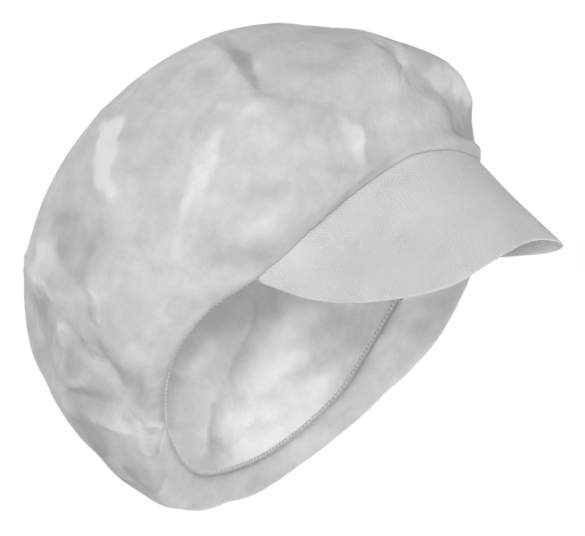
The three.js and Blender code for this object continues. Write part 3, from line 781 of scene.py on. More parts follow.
    def fold_fields(self, points: np.ndarray, normals: np.ndarray) -> tuple[np.ndarray, np.ndarray]:
        """Heights of the crisp folds, and tones of painted light and shade of the folds and the flat patches.

        Args:
            points: surface points in millimetres.
            normals: outward normals there.

        Returns:
            Heights in millimetres and tones of painted light and shade, one for each point.
        """
        height = np.zeros(points.shape[:-1])
        tone = np.zeros(points.shape[:-1])
        wobble = [soft_noise(points, WOBBLE_SCALE, WOBBLE_SEED + k) for k in range(3)]
        ragged = points + WOBBLE * np.stack(wobble, -1)
        for fold in FOLDS:
            self.fold_field(fold, points, ragged, normals, height, tone)
        for patch in PATCHES:
            self.patch_field(patch, points, ragged, tone)
        return height, tone

    def gather_heights(self, turn: np.ndarray, run: np.ndarray) -> np.ndarray:
        """Pleats drawn in by the elastic: broad ones as in the solid, and two sets of finer ones.

        Args:
            turn: (m, n) turns.
            run: (m, n) distances up from the opening in millimetres.

        Returns:
            Heights in millimetres.
        """
        w = turn * 2 * math.pi
        phase = self.gathers * w + 1.3 * np.sin(3 * w + 0.6) + 0.8 * np.sin(7 * w + 2.1)
        strength = 0.75 + 0.25 * np.sin(5 * w + 1.7)
        broad = 0.22 * self.gather_height * strength * (1 - np.exp(-run / 5)) * np.exp(-run / self.gather_run)
        total = broad * np.sin(phase)
        for count, high, near, far, seed in FINE_GATHERS:
            bend = 1.6 * np.sin(4 * w + seed) + 0.9 * np.sin(11 * w + 2 * seed) + 0.05 * run
            swell = 0.6 + 0.4 * np.sin(6 * w + 3 * seed)
            total = total + high * swell * (1 - np.exp(-run / near)) * np.exp(-run / far) * triangle(
                (count * w + bend) / FULL_TURN)
        return total

    def crumple(self, points: np.ndarray) -> np.ndarray:
        """Crumples like those of paper: broad facets, and finer ones where a soft mask lets them show.

        Args:
            points: surface points in millimetres.

        Returns:
            Heights in millimetres.
        """
        mask = np.clip(0.5 + 0.8 * soft_noise(points, 90, 11), 0, 1)
        broad, middle, fine = (high * facet_noise(points, scale, seed) for high, scale, seed in CRUMPLES)
        return broad + mask * middle + (1 - 0.6 * mask) * fine

    def finished(self, turn: np.ndarray, up: np.ndarray) -> tuple[np.ndarray, np.ndarray, np.ndarray]:
        """Finished surface: the plain one, moved along its normals by folds, gathers and crumples.

        Args:
            turn: (n) turns.
            up: (m) shares.

        Returns:
            Points and normals, both (m, n, 3), in millimetres, and (m, n, 2): the small relief in millimetres
            and the tone of the cloth, which is painted light and shade of folds, patches and hem with a
            random mottle.
        """
        points = self.plain(turn, up)
        normals = self.normal(turn, np.minimum(up, self.highest_normal))
        ease = np.clip((up - self.ease_from) / self.ease_over, 0, 1)[:, None]
        height = self.crease_height(points, normals)
        height = self.limit * np.tanh(height / self.limit) * ease * ease * (3 - 2 * ease)
        run = np.broadcast_to(up[:, None] * self.knots[-1], height.shape)
        crisp, tone = self.fold_fields(points, normals)
        small = crisp * np.clip(run / self.crisp_run, 0, 1)
        small = small + self.gather_heights(np.broadcast_to(turn, height.shape), run)
        past_hem = np.clip((run - self.calm_from) / self.calm_run, 0, 1)
        near_hem = self.calm_least + (1 - self.calm_least) * past_hem
        near_top = np.clip((self.top_end - up)[:, None] / self.top_fade, 0, 1)
        small = small + self.crumple(points) * near_hem * near_top
        tone = tone + sum(share * noise(points, scale, seed) for noise, share, scale, seed in MOTTLES)
        # painted shade: a dark line in the cloth along the opening's edge, beside the hem
        tone = tone - self.hem_shade * np.exp(-(run / self.hem_shade_run) ** 2)
        return points + normals * (height + small)[..., None], normals, np.stack([small, tone], -1)

    def skin(self, around: int, rows: int, inward: float) -> tuple[np.ndarray, np.ndarray]:
        """One skin of the bag as rows of points, the top point last, with its relief and tone.

        Args:
            around: points in each row.
            rows: rows from the edge towards the top, closer together near the edge.
            inward: how far the skin lies inside the cloth's face, in millimetres.

        Returns:
            (around * rows + 1, 3) points in millimetres, and (around * rows + 1, 2) relief and tone.
        """
        turn = np.arange(around) / around
        x = np.arange(rows) / rows
        points, normals, fields = self.finished(turn, x * (0.70 + 0.30 * x))
        top, _, top_fields = self.finished(np.array([0.0]), np.array([1.0]))
        return (np.vstack([(points - normals * inward).reshape(-1, 3), top[0] - np.array([0, 0, inward])]),
                np.vstack([fields.reshape(-1, 2), top_fields[0]]))

    def build(self) -> bpy.types.Object:
        """Makes the bag as a thin closed shell: a fine outer skin, a coarser inner one, an edge between.

        Returns:
            The bag, with its small relief in metres and its tone from 0 to 1, painted light and shade with a
            random mottle, as attributes.
        """
        n, m = self.around, self.rows
        half, deep = n // 2, m // 2
        outer, outer_fields = self.skin(n, m, 0.0)
        inner, inner_fields = self.skin(half, deep, self.wall)
        inner_fields[:, 0] *= -1
        second = len(outer)
        quads = np.vstack([grid_faces(m, n, True), grid_faces(deep, half, True, second, True)])
        i = np.arange(n)
        j = np.arange(half)
        nxt = (j + 1) % half
        last, inner_last = (m - 1) * n, (deep - 1) * half
        outer_top = np.stack([last + i, last + (i + 1) % n, np.full(n, n * m)], -1)
        inner_top = np.stack([inner_last + nxt, inner_last + j, np.full(half, half * deep)], -1) + second
        edge = [np.stack([2 * j, second + j, 2 * j + 1], -1),
                np.stack([2 * j + 1, second + j, second + nxt], -1),
                np.stack([2 * j + 1, second + nxt, (2 * j + 2) % n], -1)]
        points = tipped(np.vstack([outer, inner]))
        bag = mesh_object("crown_bag", points, [quads, outer_top, inner_top, *edge])
        fields = np.vstack([outer_fields, inner_fields])
        tone = np.clip(0.5 + self.tone_share * fields[:, 1], 0, 1)
        for name, values in (("relief", fields[:, 0] * MM), ("tone", tone)):
            layer = bag.data.attributes.new(name, "FLOAT", "POINT")
            layer.data.foreach_set("value", values.astype(np.float32))
        return bag


# The peak and the hem

@dataclass
class Peak:
    """The soft peak: a curved sheet that starts on the bag's face and hangs from the opening's edge.

    The runs are the seam's lengths on both sides of the front, in millimetres. At places from -1 at its
    right end to 1 at its left end, lengths are shares of the length and leans are degrees outwards.
    """

    bag: Bag
    length: float = 62.0
    wall: float = 0.8
    right_run: float = 134.0
    left_run: float = 100.0
    root_out: float = 0.325
    root_down: float = 1.05
    root_up: float = 0.036
    root_gap: float = 0.3
    at: tuple[float, ...] = (-1.0, -0.9, -0.75, -0.55, -0.35, -0.15, 0.0, 0.12, 0.30, 0.55, 0.75, 0.9, 1.0)
    lengths: tuple[float, ...] = (0.04, 0.42, 0.76, 0.99, 1.0, 0.94, 0.97, 0.80, 0.66, 0.54, 0.40, 0.24, 0.04)
    leans: tuple[float, ...] = (2, 3, 4, 4, 3, 2, 1, -16, -46, -58, -60, -60, -60)
    wave: float = 0.35
    along: int = 260
    down: int = 64

    def middle(self, along: np.ndarray, down: np.ndarray) -> np.ndarray:
        """Middle surface: from the root, straight down and swung outwards by a lean that grows downwards.

        On the right half the upper rows are drawn onto the bag's face, by a share that fades towards the
        free edge.

        Args:
            along: (n) from -1 at the right end to 1 at the left end.
            down: (m) from 0 at the seam to 1 at the free edge.

        Returns:
            (m, n, 3) points in millimetres.
        """
        table = np.stack([self.lengths, self.leans], -1).astype(float)
        read = smooth(np.array(self.at), table, along)
        run = along * np.where(along < 0, self.right_run, self.left_run)
        opening = self.bag.opening
        out = opening.out(run)
        root = opening.at(run) + out * self.root_out - np.array([0, 0, self.root_down])
        swing = np.radians(read[:, 1])[None, :] * (0.45 + 0.55 * down[:, None])
        reach = self.length * read[:, 0][None, :] * down[:, None]
        point = root[None] + (np.sin(swing) * reach)[..., None] * out[None]
        point[..., 2] -= np.cos(swing) * reach
        face, normals, _ = self.bag.finished(np.mod(run / opening.around, 1), np.array([self.root_up]))
        hold = np.clip((1 - np.abs(along)) / 0.12, 0, 1) * np.clip(-along / 0.35 + 0.1, 0, 1)
        draw = (face[0] + normals[0] * self.root_gap - root) * hold[:, None]
        return point + draw[None] * ((1 - down) ** 3)[:, None, None]

    def build(self) -> bpy.types.Object:
        """Makes the peak as a closed sheet.

        Returns:
            The peak, with a cloth map in metres along and down.
        """
        along = np.linspace(-1, 1, self.along + 1)
        down = np.linspace(0, 1, self.down + 1)
        point = self.middle(along, down)
        normal = unit(np.cross(np.gradient(point, axis=0), np.gradient(point, axis=1)))
        wave = self.wave * soft_noise(point, 42, 7) * np.clip(down, 0, 0.3)[:, None] / 0.3
        point = point + normal * wave[..., None]
        outer, inner = point + normal * self.wall / 2, point - normal * self.wall / 2
        rows, cols = self.down + 1, self.along + 1
        sides = [grid_faces(rows, cols, False, 0, True), grid_faces(rows, cols, False, rows * cols)]
        edge = np.r_[np.arange(cols), np.arange(2, rows + 1) * cols - 1,
                     (rows - 1) * cols + np.arange(cols - 2, -1, -1), np.arange(rows - 2, 0, -1) * cols]
        nxt = np.roll(edge, -1)
        faces = np.vstack([*sides, np.stack([edge, nxt, nxt + rows * cols, edge + rows * cols], -1)])
        run = np.where(along < 0, self.right_run, self.left_run) * along
        lengths = smooth(np.array(self.at), np.array(self.lengths)[:, None], along)[:, 0] * self.length
        flat = np.stack([np.broadcast_to(run, (rows, cols)), down[:, None] * lengths[None, :]], -1) * MM
        flat = np.vstack([flat.reshape(-1, 2)] * 2)
        every = tipped(np.vstack([outer.reshape(-1, 3), inner.reshape(-1, 3)]))
        return mesh_object("peak_sheet", every, [faces], flat[faces])


@dataclass
class Hem:
    """The elastic hem: a ruffled bead round the opening with overlock stitches over it.

    Inside and below say how far, in millimetres, the bead's centre lies inside the cloth's edge and past
    it, and thread_gap how far the threads stand off the bead. A loop of thread begins at loop_from and
    runs on by loop_sweep, in degrees round the bead.
    """

    bag: Bag
    width: float = 2.4
    thickness: float = 1.5
    inside: float = 1.35
    below: float = 0.75
    around: int = 960
    sides: int = 12
    stitches: int = 230
    stitch_lean: float = 0.95
    thread: float = 0.27
    thread_gap: float = 0.30
    loop_from: float = -60.0
    loop_sweep: float = 300.0
    thread_steps: int = 7
    thread_sides: int = 5

    def frame_at(self, turn: np.ndarray) -> tuple[np.ndarray, np.ndarray, np.ndarray]:
        """Where the bead runs.

        Args:
            turn: (n) turns round the edge.

        Returns:
            Centres in millimetres, ways down the cloth and ways into the bag, each (n, 3).
        """
        rows = self.bag.guides(turn)
        down = unit(rows[0] - rows[1])
        inward = -self.bag.normal(turn, np.array([0.0]))[0]
        centre = rows[0] + inward * self.inside + down * self.below
        return centre, down, inward

    def bead(self) -> bpy.types.Object:
        """Makes the bead: an oval whose size and place ripple with the gathers of the cloth.

        Returns:
            The bead.
        """
        turn = np.arange(self.around) / self.around
        centre, down, inward = self.frame_at(turn)
        w = turn * 2 * math.pi
        ripple = (0.16 * triangle((118 * w + 2.2 * np.sin(5 * w)) / FULL_TURN)
                  + 0.10 * np.sin(61 * w + 1.5 * np.sin(9 * w)))
        angle = 2 * math.pi * np.arange(self.sides) / self.sides
        wide = (self.width / 2 + ripple)[:, None] * np.cos(angle)[None]
        high = (self.thickness / 2 * (1 + 0.25 * ripple))[:, None] * np.sin(angle)[None]
        spot = centre[:, None] - down[:, None] * wide[..., None] + inward[:, None] * high[..., None]
        spot = spot + inward[:, None] * (0.35 * ripple)[:, None, None]
        faces = grid_faces(self.around, self.sides, True, 0, True)
        last = (self.around - 1) * self.sides
        i = np.arange(self.sides)
        k = (i + 1) % self.sides
        close = np.stack([last + i, i, k, last + k], -1)
        return mesh_object("hem_bead", tipped(spot), [faces, close])

    def threads(self) -> bpy.types.Object:
        """Makes the overlock threads: slanting loops most of the way round the bead, each a closed tube.

        Returns:
            All threads as one piece.
        """
        n, steps, sides = self.stitches, self.thread_steps, self.thread_sides
        turn = np.arange(n) / n
        share = np.linspace(0, 1, steps)
        lean = self.stitch_lean / n
        parts = []
        for k in range(steps):
            centre, down, inward = self.frame_at(np.mod(turn + lean * (share[k] - 0.5), 1))
            swing = math.radians(self.loop_from + self.loop_sweep * share[k])
            around = (centre - down * (self.width / 2 + self.thread_gap) * math.cos(swing)
                      + inward * (self.thickness / 2 + self.thread_gap) * math.sin(swing))
            parts.append((around, unit(-down * math.cos(swing) + inward * math.sin(swing))))
        spine = np.stack([p[0] for p in parts], 1)
        rise = np.stack([p[1] for p in parts], 1)
        along = unit(np.gradient(spine, axis=1))
        across = unit(np.cross(along, rise))
        angle = 2 * math.pi * np.arange(sides) / sides
        ring = (rise[:, :, None] * np.cos(angle)[None, None, :, None]
                + across[:, :, None] * np.sin(angle)[None, None, :, None]) * self.thread
        points = spine[:, :, None] + ring
        one = grid_faces(steps, sides, True)
        quads = (one[None] + np.arange(n)[:, None, None] * steps * sides).reshape(-1, 4)
        first = (np.arange(n) * steps * sides)[:, None]
        caps = np.vstack([first + np.arange(sides)[::-1], first + (steps - 1) * sides + np.arange(sides)])
        return mesh_object("hem_stitches", tipped(points), [quads, caps])


# Finishes

class Pattern(Enum):
    """Where a pattern's coordinates come from."""

    OBJECT = "Object"
    CLOTH = "UV"


# What a node's input can be given: another node's output or a plain value.
Input = bpy.types.NodeSocket | float | tuple


def new_group(name: str, inputs: tuple, outputs: tuple) -> tuple[bpy.types.NodeTree, dict, dict]:
    """Starts a shader node group with typed sockets.

    Args:
        name: group name.
        inputs: (name, socket type, default) rows.
        outputs: (name, socket type) rows.

    Returns:
        The tree, its input node's sockets and its output node's sockets, by name.
    """
    tree = bpy.data.node_groups.new(name, "ShaderNodeTree")
    for label, kind, value in inputs:
        socket = tree.interface.new_socket(label, in_out="INPUT", socket_type=kind)
        if value is not None:
            socket.default_value = value
    for label, kind in outputs:
        tree.interface.new_socket(label, in_out="OUTPUT", socket_type=kind)
    start = tree.nodes.new("NodeGroupInput")
    end = tree.nodes.new("NodeGroupOutput")
    return tree, {s.name: s for s in start.outputs}, {s.name: s for s in end.inputs}


def add(tree: bpy.types.NodeTree, kind: str, links: dict[str | int, Input] | None = None,
        **settings: object) -> bpy.types.Node:
    """Adds a node, sets its options and plugs or fills its inputs.

    Args:
        tree: the tree that gets the node.
        kind: node type name.
        links: input name or number to a socket or a plain value.
        settings: node options.

    Returns:
        The node.
    """
    node = tree.nodes.new(kind)
    for key, value in settings.items():
        setattr(node, key, value)
    for key, value in (links or {}).items():
        if isinstance(value, bpy.types.NodeSocket):
            tree.links.new(value, node.inputs[key])
        else:
            node.inputs[key].default_value = value
    return node


def calc(tree: bpy.types.NodeTree, operation: str, *values: Input,
         **settings: object) -> bpy.types.NodeSocket:
    """Adds a Math node.

    Args:
        tree: the tree that gets the node.
        operation: what it works out.
        values: its inputs, in their order.
        settings: other node options.

    Returns:
        The node's output.
    """
    return add(tree, "ShaderNodeMath", dict(enumerate(values)), operation=operation, **settings).outputs[0]


def spread(tree: bpy.types.NodeTree, value: Input, low: float, high: float, to_low: float = 0.0,
           to_high: float = 1.0) -> bpy.types.NodeSocket:
    """Adds a Map Range node.

    Args:
        tree: the tree that gets the node.
        value: its input.
        low: the input that gives to_low, or less.
        high: the input that gives to_high, or more.
        to_low: least output.
        to_high: greatest output.

    Returns:
        The node's output.
    """
    return add(tree, "ShaderNodeMapRange", {"Value": value, "From Min": low, "From Max": high,
                                            "To Min": to_low, "To Max": to_high}).outputs[0]


def fibre_group() -> bpy.types.NodeTree:
    """Group of the nonwoven: cloudy fibre density, fine fibres and crisp crumple lines.

    Returns:
        The tree, with outputs Cloud, Fibre and Height.
    """
    tree, ins, outs = new_group(
        "nonwoven_fibres",
        (("Vector", "NodeSocketVector", None), ("Cloud Scale", "NodeSocketFloat", 26.0),
         ("Fibre Scale", "NodeSocketFloat", 900.0), ("Crumple Scale", "NodeSocketFloat", 42.0)),
        (("Cloud", "NodeSocketFloat"), ("Fibre", "NodeSocketFloat"), ("Height", "NodeSocketFloat")))
    cloud = add(tree, "ShaderNodeTexNoise", {"Vector": ins["Vector"], "Scale": ins["Cloud Scale"],
                                             "Detail": 6.0, "Roughness": 0.62, "Distortion": 0.6})
    fine = add(tree, "ShaderNodeTexNoise", {"Vector": ins["Vector"], "Scale": ins["Fibre Scale"],
                                            "Detail": 3.0, "Roughness": 0.6, "Distortion": 1.4})
    warp = add(tree, "ShaderNodeTexNoise", {"Vector": ins["Vector"], "Scale": 30.0, "Detail": 2.0})
    bent = add(tree, "ShaderNodeVectorMath", {0: warp.outputs["Color"], 1: (0.02, 0.02, 0.02)},
               operation="MULTIPLY")
    place = add(tree, "ShaderNodeVectorMath", {0: ins["Vector"], 1: bent.outputs[0]}, operation="ADD")
    lines = add(tree, "ShaderNodeTexVoronoi", {"Vector": place.outputs[0], "Scale": ins["Crumple Scale"]},
                feature="DISTANCE_TO_EDGE")
    ridge = calc(tree, "MINIMUM", lines.outputs["Distance"], 0.22)
    crisp = calc(tree, "MULTIPLY", ridge, spread(tree, cloud.outputs["Fac"], 0.42, 0.62))
    small = calc(tree, "MULTIPLY", fine.outputs["Fac"], 0.10)
    broad = calc(tree, "MULTIPLY_ADD", cloud.outputs["Fac"], 0.35, small)
    tree.links.new(cloud.outputs["Fac"], outs["Cloud"])
    tree.links.new(fine.outputs["Fac"], outs["Fibre"])
    tree.links.new(calc(tree, "MULTIPLY_ADD", crisp, 1.6, broad), outs["Height"])
    return tree


def weave_group() -> bpy.types.NodeTree:
    """Group of a fine weave: a product of two sine waves, or ribs of one alone, by a broad noise.

    Returns:
        The tree, with outputs Thread and Height.
    """
    tree, ins, outs = new_group(
        "fine_weave",
        (("Vector", "NodeSocketVector", None), ("Pitch", "NodeSocketFloat", 0.0013),
         ("Unevenness", "NodeSocketFloat", 0.25)),
        (("Thread", "NodeSocketFloat"), ("Height", "NodeSocketFloat")))
    noise = add(tree, "ShaderNodeTexNoise", {"Vector": ins["Vector"], "Scale": 260.0, "Detail": 3.0})
    broad = add(tree, "ShaderNodeTexNoise", {"Vector": ins["Vector"], "Scale": 46.0, "Detail": 4.0,
                                             "Roughness": 0.7})
    shift = add(tree, "ShaderNodeVectorMath", {0: noise.outputs["Color"], 1: (0.0040, 0.0016, 0.0)},
                operation="MULTIPLY")
    place = add(tree, "ShaderNodeVectorMath", {0: ins["Vector"], 1: shift.outputs[0]}, operation="ADD")
    split = add(tree, "ShaderNodeSeparateXYZ", {0: place.outputs[0]})
    waves = []
    for axis, share in (("X", 1.12), ("Y", 0.9)):
        turns = calc(tree, "DIVIDE", split.outputs[axis], calc(tree, "MULTIPLY", ins["Pitch"], share))
        waves.append(calc(tree, "SINE", calc(tree, "MULTIPLY", turns, 2 * math.pi)))
    level = spread(tree, broad.outputs["Fac"], 0.40, 0.60, 0.10, 1.0)
    cross = calc(tree, "MULTIPLY", waves[0], waves[1])
    ribs = calc(tree, "MULTIPLY", waves[0], 0.45)
    mixed = add(tree, "ShaderNodeMix", {"Factor": level, "A": ribs, "B": cross}, data_type="FLOAT")
    worn = spread(tree, broad.outputs["Color"], 0.38, 0.62, 0.05, 0.5)
    thread = calc(tree, "MULTIPLY_ADD", mixed.outputs["Result"], worn, 0.5)
    rough = calc(tree, "MULTIPLY", noise.outputs["Fac"], ins["Unevenness"])
    tree.links.new(thread, outs["Thread"])
    tree.links.new(calc(tree, "ADD", thread, rough), outs["Height"])
    return tree


@dataclass(frozen=True)
class Finish:
    """What the finishes share: the greys of their dark and light parts, and how they take light."""

    name: str
    light: float
    dark: float
    bump: float
    strength: float
    roughness: float
    sheen: float
    specular: float
    through: float

    def start(self) -> tuple[bpy.types.Material, bpy.types.NodeTree, bpy.types.bpy_prop_collection]:
        """Makes the empty material.

        Returns:
            The material, its tree and the sockets that give places on the piece.
        """
        mat = bpy.data.materials.new(self.name)
        mat.use_nodes = True
        mat.node_tree.nodes.clear()
        return mat, mat.node_tree, add(mat.node_tree, "ShaderNodeTexCoord").outputs

    def grey(self, tree: bpy.types.NodeTree, share: bpy.types.NodeSocket) -> bpy.types.NodeSocket:
        """Mixes the two greys.

        Args:
            tree: the material's tree.
            share: how much of the light grey.

        Returns:
            The colour.
        """
        mix = add(tree, "ShaderNodeMix", {"Factor": share, "A": (self.dark, self.dark, self.dark, 1),
                                          "B": (self.light, self.light, self.light, 1)}, data_type="RGBA")
        return mix.outputs["Result"]

    def lift(self, tree: bpy.types.NodeTree, height: bpy.types.NodeSocket) -> bpy.types.NodeSocket:
        """Turns a pattern's height into a normal."""
        return add(tree, "ShaderNodeBump", {"Height": height, "Strength": self.strength,
                                            "Distance": self.bump}).outputs[0]

    def end(self, tree: bpy.types.NodeTree, tone: bpy.types.NodeSocket, normal: bpy.types.NodeSocket) -> None:
        """Ends the material: a matt body, and where light passes through, a translucent share.

        Args:
            tree: the material's tree.
            tone: its colour.
            normal: its bumpy normal.
        """
        face = add(tree, "ShaderNodeBsdfPrincipled", {"Base Color": tone, "Normal": normal,
                                                      "Roughness": self.roughness, "Sheen Weight": self.sheen,
                                                      "Specular IOR Level": self.specular})
        if self.through:
            glow = add(tree, "ShaderNodeBsdfTranslucent", {"Color": tone, "Normal": normal})
            face = add(tree, "ShaderNodeMixShader", {0: self.through, 1: face.outputs[0], 2: glow.outputs[0]})
        add(tree, "ShaderNodeOutputMaterial", {"Surface": face.outputs[0]})


@dataclass(frozen=True)
class ThinCloth(Finish):
    """A thin white nonwoven that lets light through."""

    strength: float = 0.55
    roughness: float = 0.78
    sheen: float = 0.12
    specular: float = 0.25
    through: float = 0.50
    cloud_scale: float = 60.0
    fields: bool = False
    relief: float = 0.5

    def make(self, group: bpy.types.NodeTree) -> bpy.types.Material:
        """Builds the material: fibres and the piece's own tone, which holds painted light and shade, tint it;
        fibres and relief lift it.

        Args:
            group: the nonwoven fibre group.

        Returns:
            The material, in which a share of the light passes through.
        """
        mat, tree, places = self.start()
        fibres = add(tree, "ShaderNodeGroup", node_tree=group)
        fibres.inputs["Cloud Scale"].default_value = self.cloud_scale
        tree.links.new(places[Pattern.OBJECT.value], fibres.inputs["Vector"])
        cloud = spread(tree, fibres.outputs["Cloud"], 0.32, 0.68, -0.14, 0.14)
        grain = spread(tree, fibres.outputs["Fibre"], 0.30, 0.70, -0.12, 0.12)
        normal = self.lift(tree, fibres.outputs["Height"])
        base = 0.5
        if self.fields:
            # the tone attribute carries painted light and shade into the colour
            base = add(tree, "ShaderNodeAttribute", attribute_name="tone").outputs["Fac"]
            relief = add(tree, "ShaderNodeAttribute", attribute_name="relief").outputs["Fac"]
            normal = add(tree, "ShaderNodeBump", {"Height": relief, "Distance": self.relief,
                                                  "Normal": normal}).outputs[0]
        share = calc(tree, "ADD", calc(tree, "ADD", cloud, grain), base, use_clamp=True)
        self.end(tree, self.grey(tree, share), normal)
        return mat


@dataclass(frozen=True)
class WovenCloth(Finish):
    """A stiffer cloth with a fine even weave."""

    strength: float = 0.6
    roughness: float = 0.82
    sheen: float = 0.10
    specular: float = 0.2
    through: float = 0.12
    pitch: float = 0.0018
    cloud_scale: float = 34.0

    def make(self, group: bpy.types.NodeTree, fibres: bpy.types.NodeTree) -> bpy.types.Material:
        """Builds the material: the weave lies on the cloth's own map, clouds on its place.

        Args:
            group: the weave group.
            fibres: the nonwoven fibre group, for its clouds.

        Returns:
            The material.
        """
        mat, tree, places = self.start()
        weave = add(tree, "ShaderNodeGroup", node_tree=group)
        weave.inputs["Pitch"].default_value = self.pitch
        tree.links.new(places[Pattern.CLOTH.value], weave.inputs["Vector"])
        cloud = add(tree, "ShaderNodeGroup", node_tree=fibres)
        cloud.inputs["Cloud Scale"].default_value = self.cloud_scale
        tree.links.new(places[Pattern.OBJECT.value], cloud.inputs["Vector"])
        share = calc(tree, "MULTIPLY", weave.outputs["Thread"], 0.55)
        share = calc(tree, "MULTIPLY_ADD", cloud.outputs["Cloud"], 0.4, share)
        self.end(tree, self.grey(tree, share), self.lift(tree, weave.outputs["Height"]))
        return mat


@dataclass(frozen=True)
class Thread(Finish):
    """Sewing thread with a faint twist."""

    strength: float = 0.4
    roughness: float = 0.7
    sheen: float = 0.15
    specular: float = 0.5
    through: float = 0.0

    def make(self, fibres: bpy.types.NodeTree) -> bpy.types.Material:
        """Builds the material: fine fibre noise tints and lifts the thread.

        Args:
            fibres: the nonwoven fibre group.

        Returns:
            The material.
        """
        mat, tree, places = self.start()
        fine = add(tree, "ShaderNodeGroup", node_tree=fibres)
        tree.links.new(places[Pattern.OBJECT.value], fine.inputs["Vector"])
        fibre = fine.outputs["Fibre"]
        self.end(tree, self.grey(tree, fibre), self.lift(tree, fibre))
        return mat


# Studio

@dataclass(frozen=True)
class Softbox:
    """A square area light: place along the camera's right, up and back from the cap, side and power."""

    name: str
    place: tuple[float, float, float]
    size: float
    watts: float


SOFTBOXES = (
    Softbox("front_softbox", (0.05, 0.30, 1.35), 0.45, 7.8),
    Softbox("left_softbox", (-1.05, 0.45, 0.75), 0.5, 3.0),
    Softbox("right_softbox", (1.15, -0.15, 0.55), 0.6, 4.1),
    Softbox("back_softbox", (0.35, -0.80, -1.0), 0.9, 25.0),
    Softbox("far_softbox", (-0.85, 0.75, -0.95), 0.9, 9.0),
)


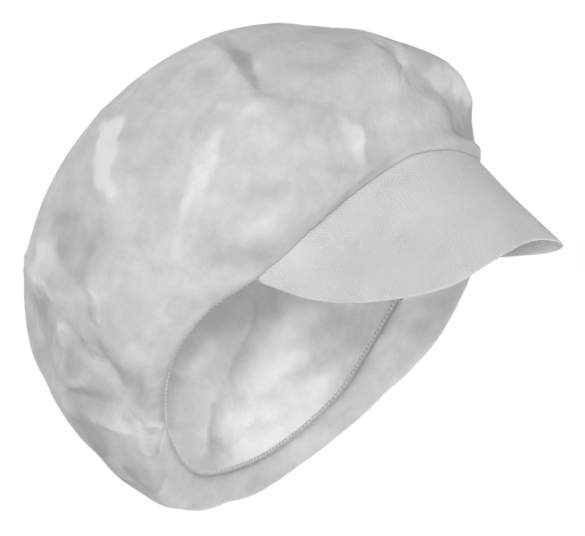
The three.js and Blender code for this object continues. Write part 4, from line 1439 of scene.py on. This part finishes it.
@dataclass
class Studio:
    """Camera at the photograph's angle, soft lights, a pale floor and white surroundings.

    Distance is in millimetres, width, height and the origin's place in pixels of the photograph, and the
    floor's height and side in metres. The world has one strength for what is seen and one for its light.
    """

    azimuth: float = -68.5
    elevation: float = -15.4
    distance: float = 1100.0
    pixels_per_mm: float = 2.1
    width: int = 585
    height: int = 536
    origin_x: float = 323.0
    origin_y: float = 313.0
    sensor: float = 36.0
    far_clip: float = 50.0
    world_seen: float = 1.0
    world_given: float = 0.36
    floor: float = -0.52
    floor_side: float = 4.0
    floor_glow: float = 0.45

    def axes(self) -> tuple[np.ndarray, np.ndarray, np.ndarray]:
        """Ways of the camera.

        Returns:
            Its backward, right and up unit vectors.
        """
        a, e = math.radians(self.azimuth), math.radians(self.elevation)
        back = np.array([math.sin(a) * math.cos(e), -math.cos(a) * math.cos(e), math.sin(e)])
        right = np.array([math.cos(a), math.sin(a), 0.0])
        return back, right, np.cross(back, right)

    def camera(self) -> None:
        """Makes the camera: it stands off along its angle and aims so that the origin lands in place."""
        back, right, up = self.axes()
        eye = back * self.distance * MM
        aim = right * (self.width / 2 - self.origin_x) + up * (self.origin_y - self.height / 2)
        aim = aim / self.pixels_per_mm * MM
        data = bpy.data.cameras.new("camera")
        data.sensor_width = self.sensor
        data.lens = self.sensor * self.pixels_per_mm * self.distance / self.width
        data.clip_end = self.far_clip
        cam = bpy.data.objects.new("camera", data)
        z = Vector(unit(eye - aim))
        x = Vector(right)
        y = z.cross(x).normalized()
        x = y.cross(z)
        cam.matrix_world = Matrix.Translation(Vector(eye)) @ Matrix((x, y, z)).transposed().to_4x4()
        bpy.context.scene.collection.objects.link(cam)
        bpy.context.scene.camera = cam

    def softbox(self, box: Softbox) -> None:
        """Adds an area light that faces the cap.

        Args:
            box: its place, size and power.
        """
        back, right, up = self.axes()
        spot = Vector(right * box.place[0] + up * box.place[1] + back * box.place[2])
        data = bpy.data.lights.new(box.name, "AREA")
        data.size = box.size
        data.energy = box.watts
        light = bpy.data.objects.new(box.name, data)
        light.location = spot
        light.rotation_euler = spot.to_track_quat("Z", "Y").to_euler()
        bpy.context.scene.collection.objects.link(light)

    def surroundings(self) -> None:
        """Sets the white world."""
        world = bpy.data.worlds.new("white_room")
        bpy.context.scene.world = world
        world.use_nodes = True
        tree = world.node_tree
        tree.nodes.clear()
        path = add(tree, "ShaderNodeLightPath")
        strength = add(tree, "ShaderNodeMix", {"Factor": path.outputs["Is Camera Ray"], "A": self.world_given,
                                               "B": self.world_seen}, data_type="FLOAT")
        room = add(tree, "ShaderNodeBackground", {"Color": (1, 1, 1, 1),
                                                  "Strength": strength.outputs["Result"]})
        add(tree, "ShaderNodeOutputWorld", {"Surface": room.outputs[0]})

    def floor_plane(self) -> None:
        """Makes the pale floor well below the cap."""
        side, z = self.floor_side, self.floor
        points = np.array([[-side, -side, z], [side, -side, z], [side, side, z], [-side, side, z]])
        thing = mesh_object("floor", points, [np.array([[0, 1, 2, 3]])], None, False)
        mat = bpy.data.materials.new("pale_floor")
        mat.use_nodes = True
        shader = mat.node_tree.nodes["Principled BSDF"]
        shader.inputs["Base Color"].default_value = (0.86, 0.86, 0.86, 1)
        shader.inputs["Roughness"].default_value = 0.9
        shader.inputs["Emission Color"].default_value = (1, 1, 1, 1)
        path = add(mat.node_tree, "ShaderNodeLightPath")
        seen = calc(mat.node_tree, "MULTIPLY", path.outputs["Is Camera Ray"], self.floor_glow)
        mat.node_tree.links.new(seen, shader.inputs["Emission Strength"])
        thing.data.materials.append(mat)

    def build(self) -> None:
        """Makes everything round the cap."""
        self.camera()
        self.surroundings()
        for box in SOFTBOXES:
            self.softbox(box)
        self.floor_plane()
        bpy.context.scene.view_settings.view_transform = "Standard"


# Assembly

@dataclass
class Cap:
    """The whole cap: bag, hem and peak, with their finishes."""

    opening: Opening = field(default_factory=Opening)

    def dress(self, thing: bpy.types.Object, material: bpy.types.Material, node: str) -> None:
        """Gives a piece its material, ties it to the body and hides the solid that it stands for.

        Args:
            thing: the piece.
            material: its finish.
            node: the solid that it replaces, or nothing.
        """
        thing.data.materials.append(material)
        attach(thing, "root")
        if node:
            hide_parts(node)
        log.info("%s: %d vertices", thing.name, len(thing.data.vertices))

    def build(self) -> None:
        fibres, weave = fibre_group(), weave_group()
        bag = Bag(self.opening)
        hem = Hem(bag)
        crown = bag.build()
        bead = hem.bead()
        threads = hem.threads()
        peak = Peak(bag).build()
        # The bag's colour takes the painted light and shade of its tone attribute.
        thin = ThinCloth("bag_nonwoven_painted_shading", light=0.99, dark=0.66, bump=0.0016, fields=True).make(fibres)
        # painted shade: the bead is a darker grey than the cloth, so it reads dark between and under the
        # stitches
        hem_cloth_painted_shade = ThinCloth("hem_nonwoven_painted_shade", light=0.76, dark=0.44, bump=0.0005, through=0.20,
                              cloud_scale=160.0).make(fibres)
        woven = WovenCloth("peak_weave", light=0.87, dark=0.53, bump=0.0006).make(weave, fibres)
        thread = Thread("hem_thread", light=0.97, dark=0.82, bump=0.0002).make(fibres)
        self.dress(crown, thin, "crown")
        self.dress(bead, hem_cloth_painted_shade, "elastic_hem")
        self.dress(threads, thread, "")
        self.dress(peak, woven, "peak")


def main() -> None:
    """Builds the cap and the studio."""
    logging.basicConfig(level=logging.INFO, format="%(name)s %(message)s")
    Studio().build()
    Cap().build()


if __name__ == "__main__":
    main()
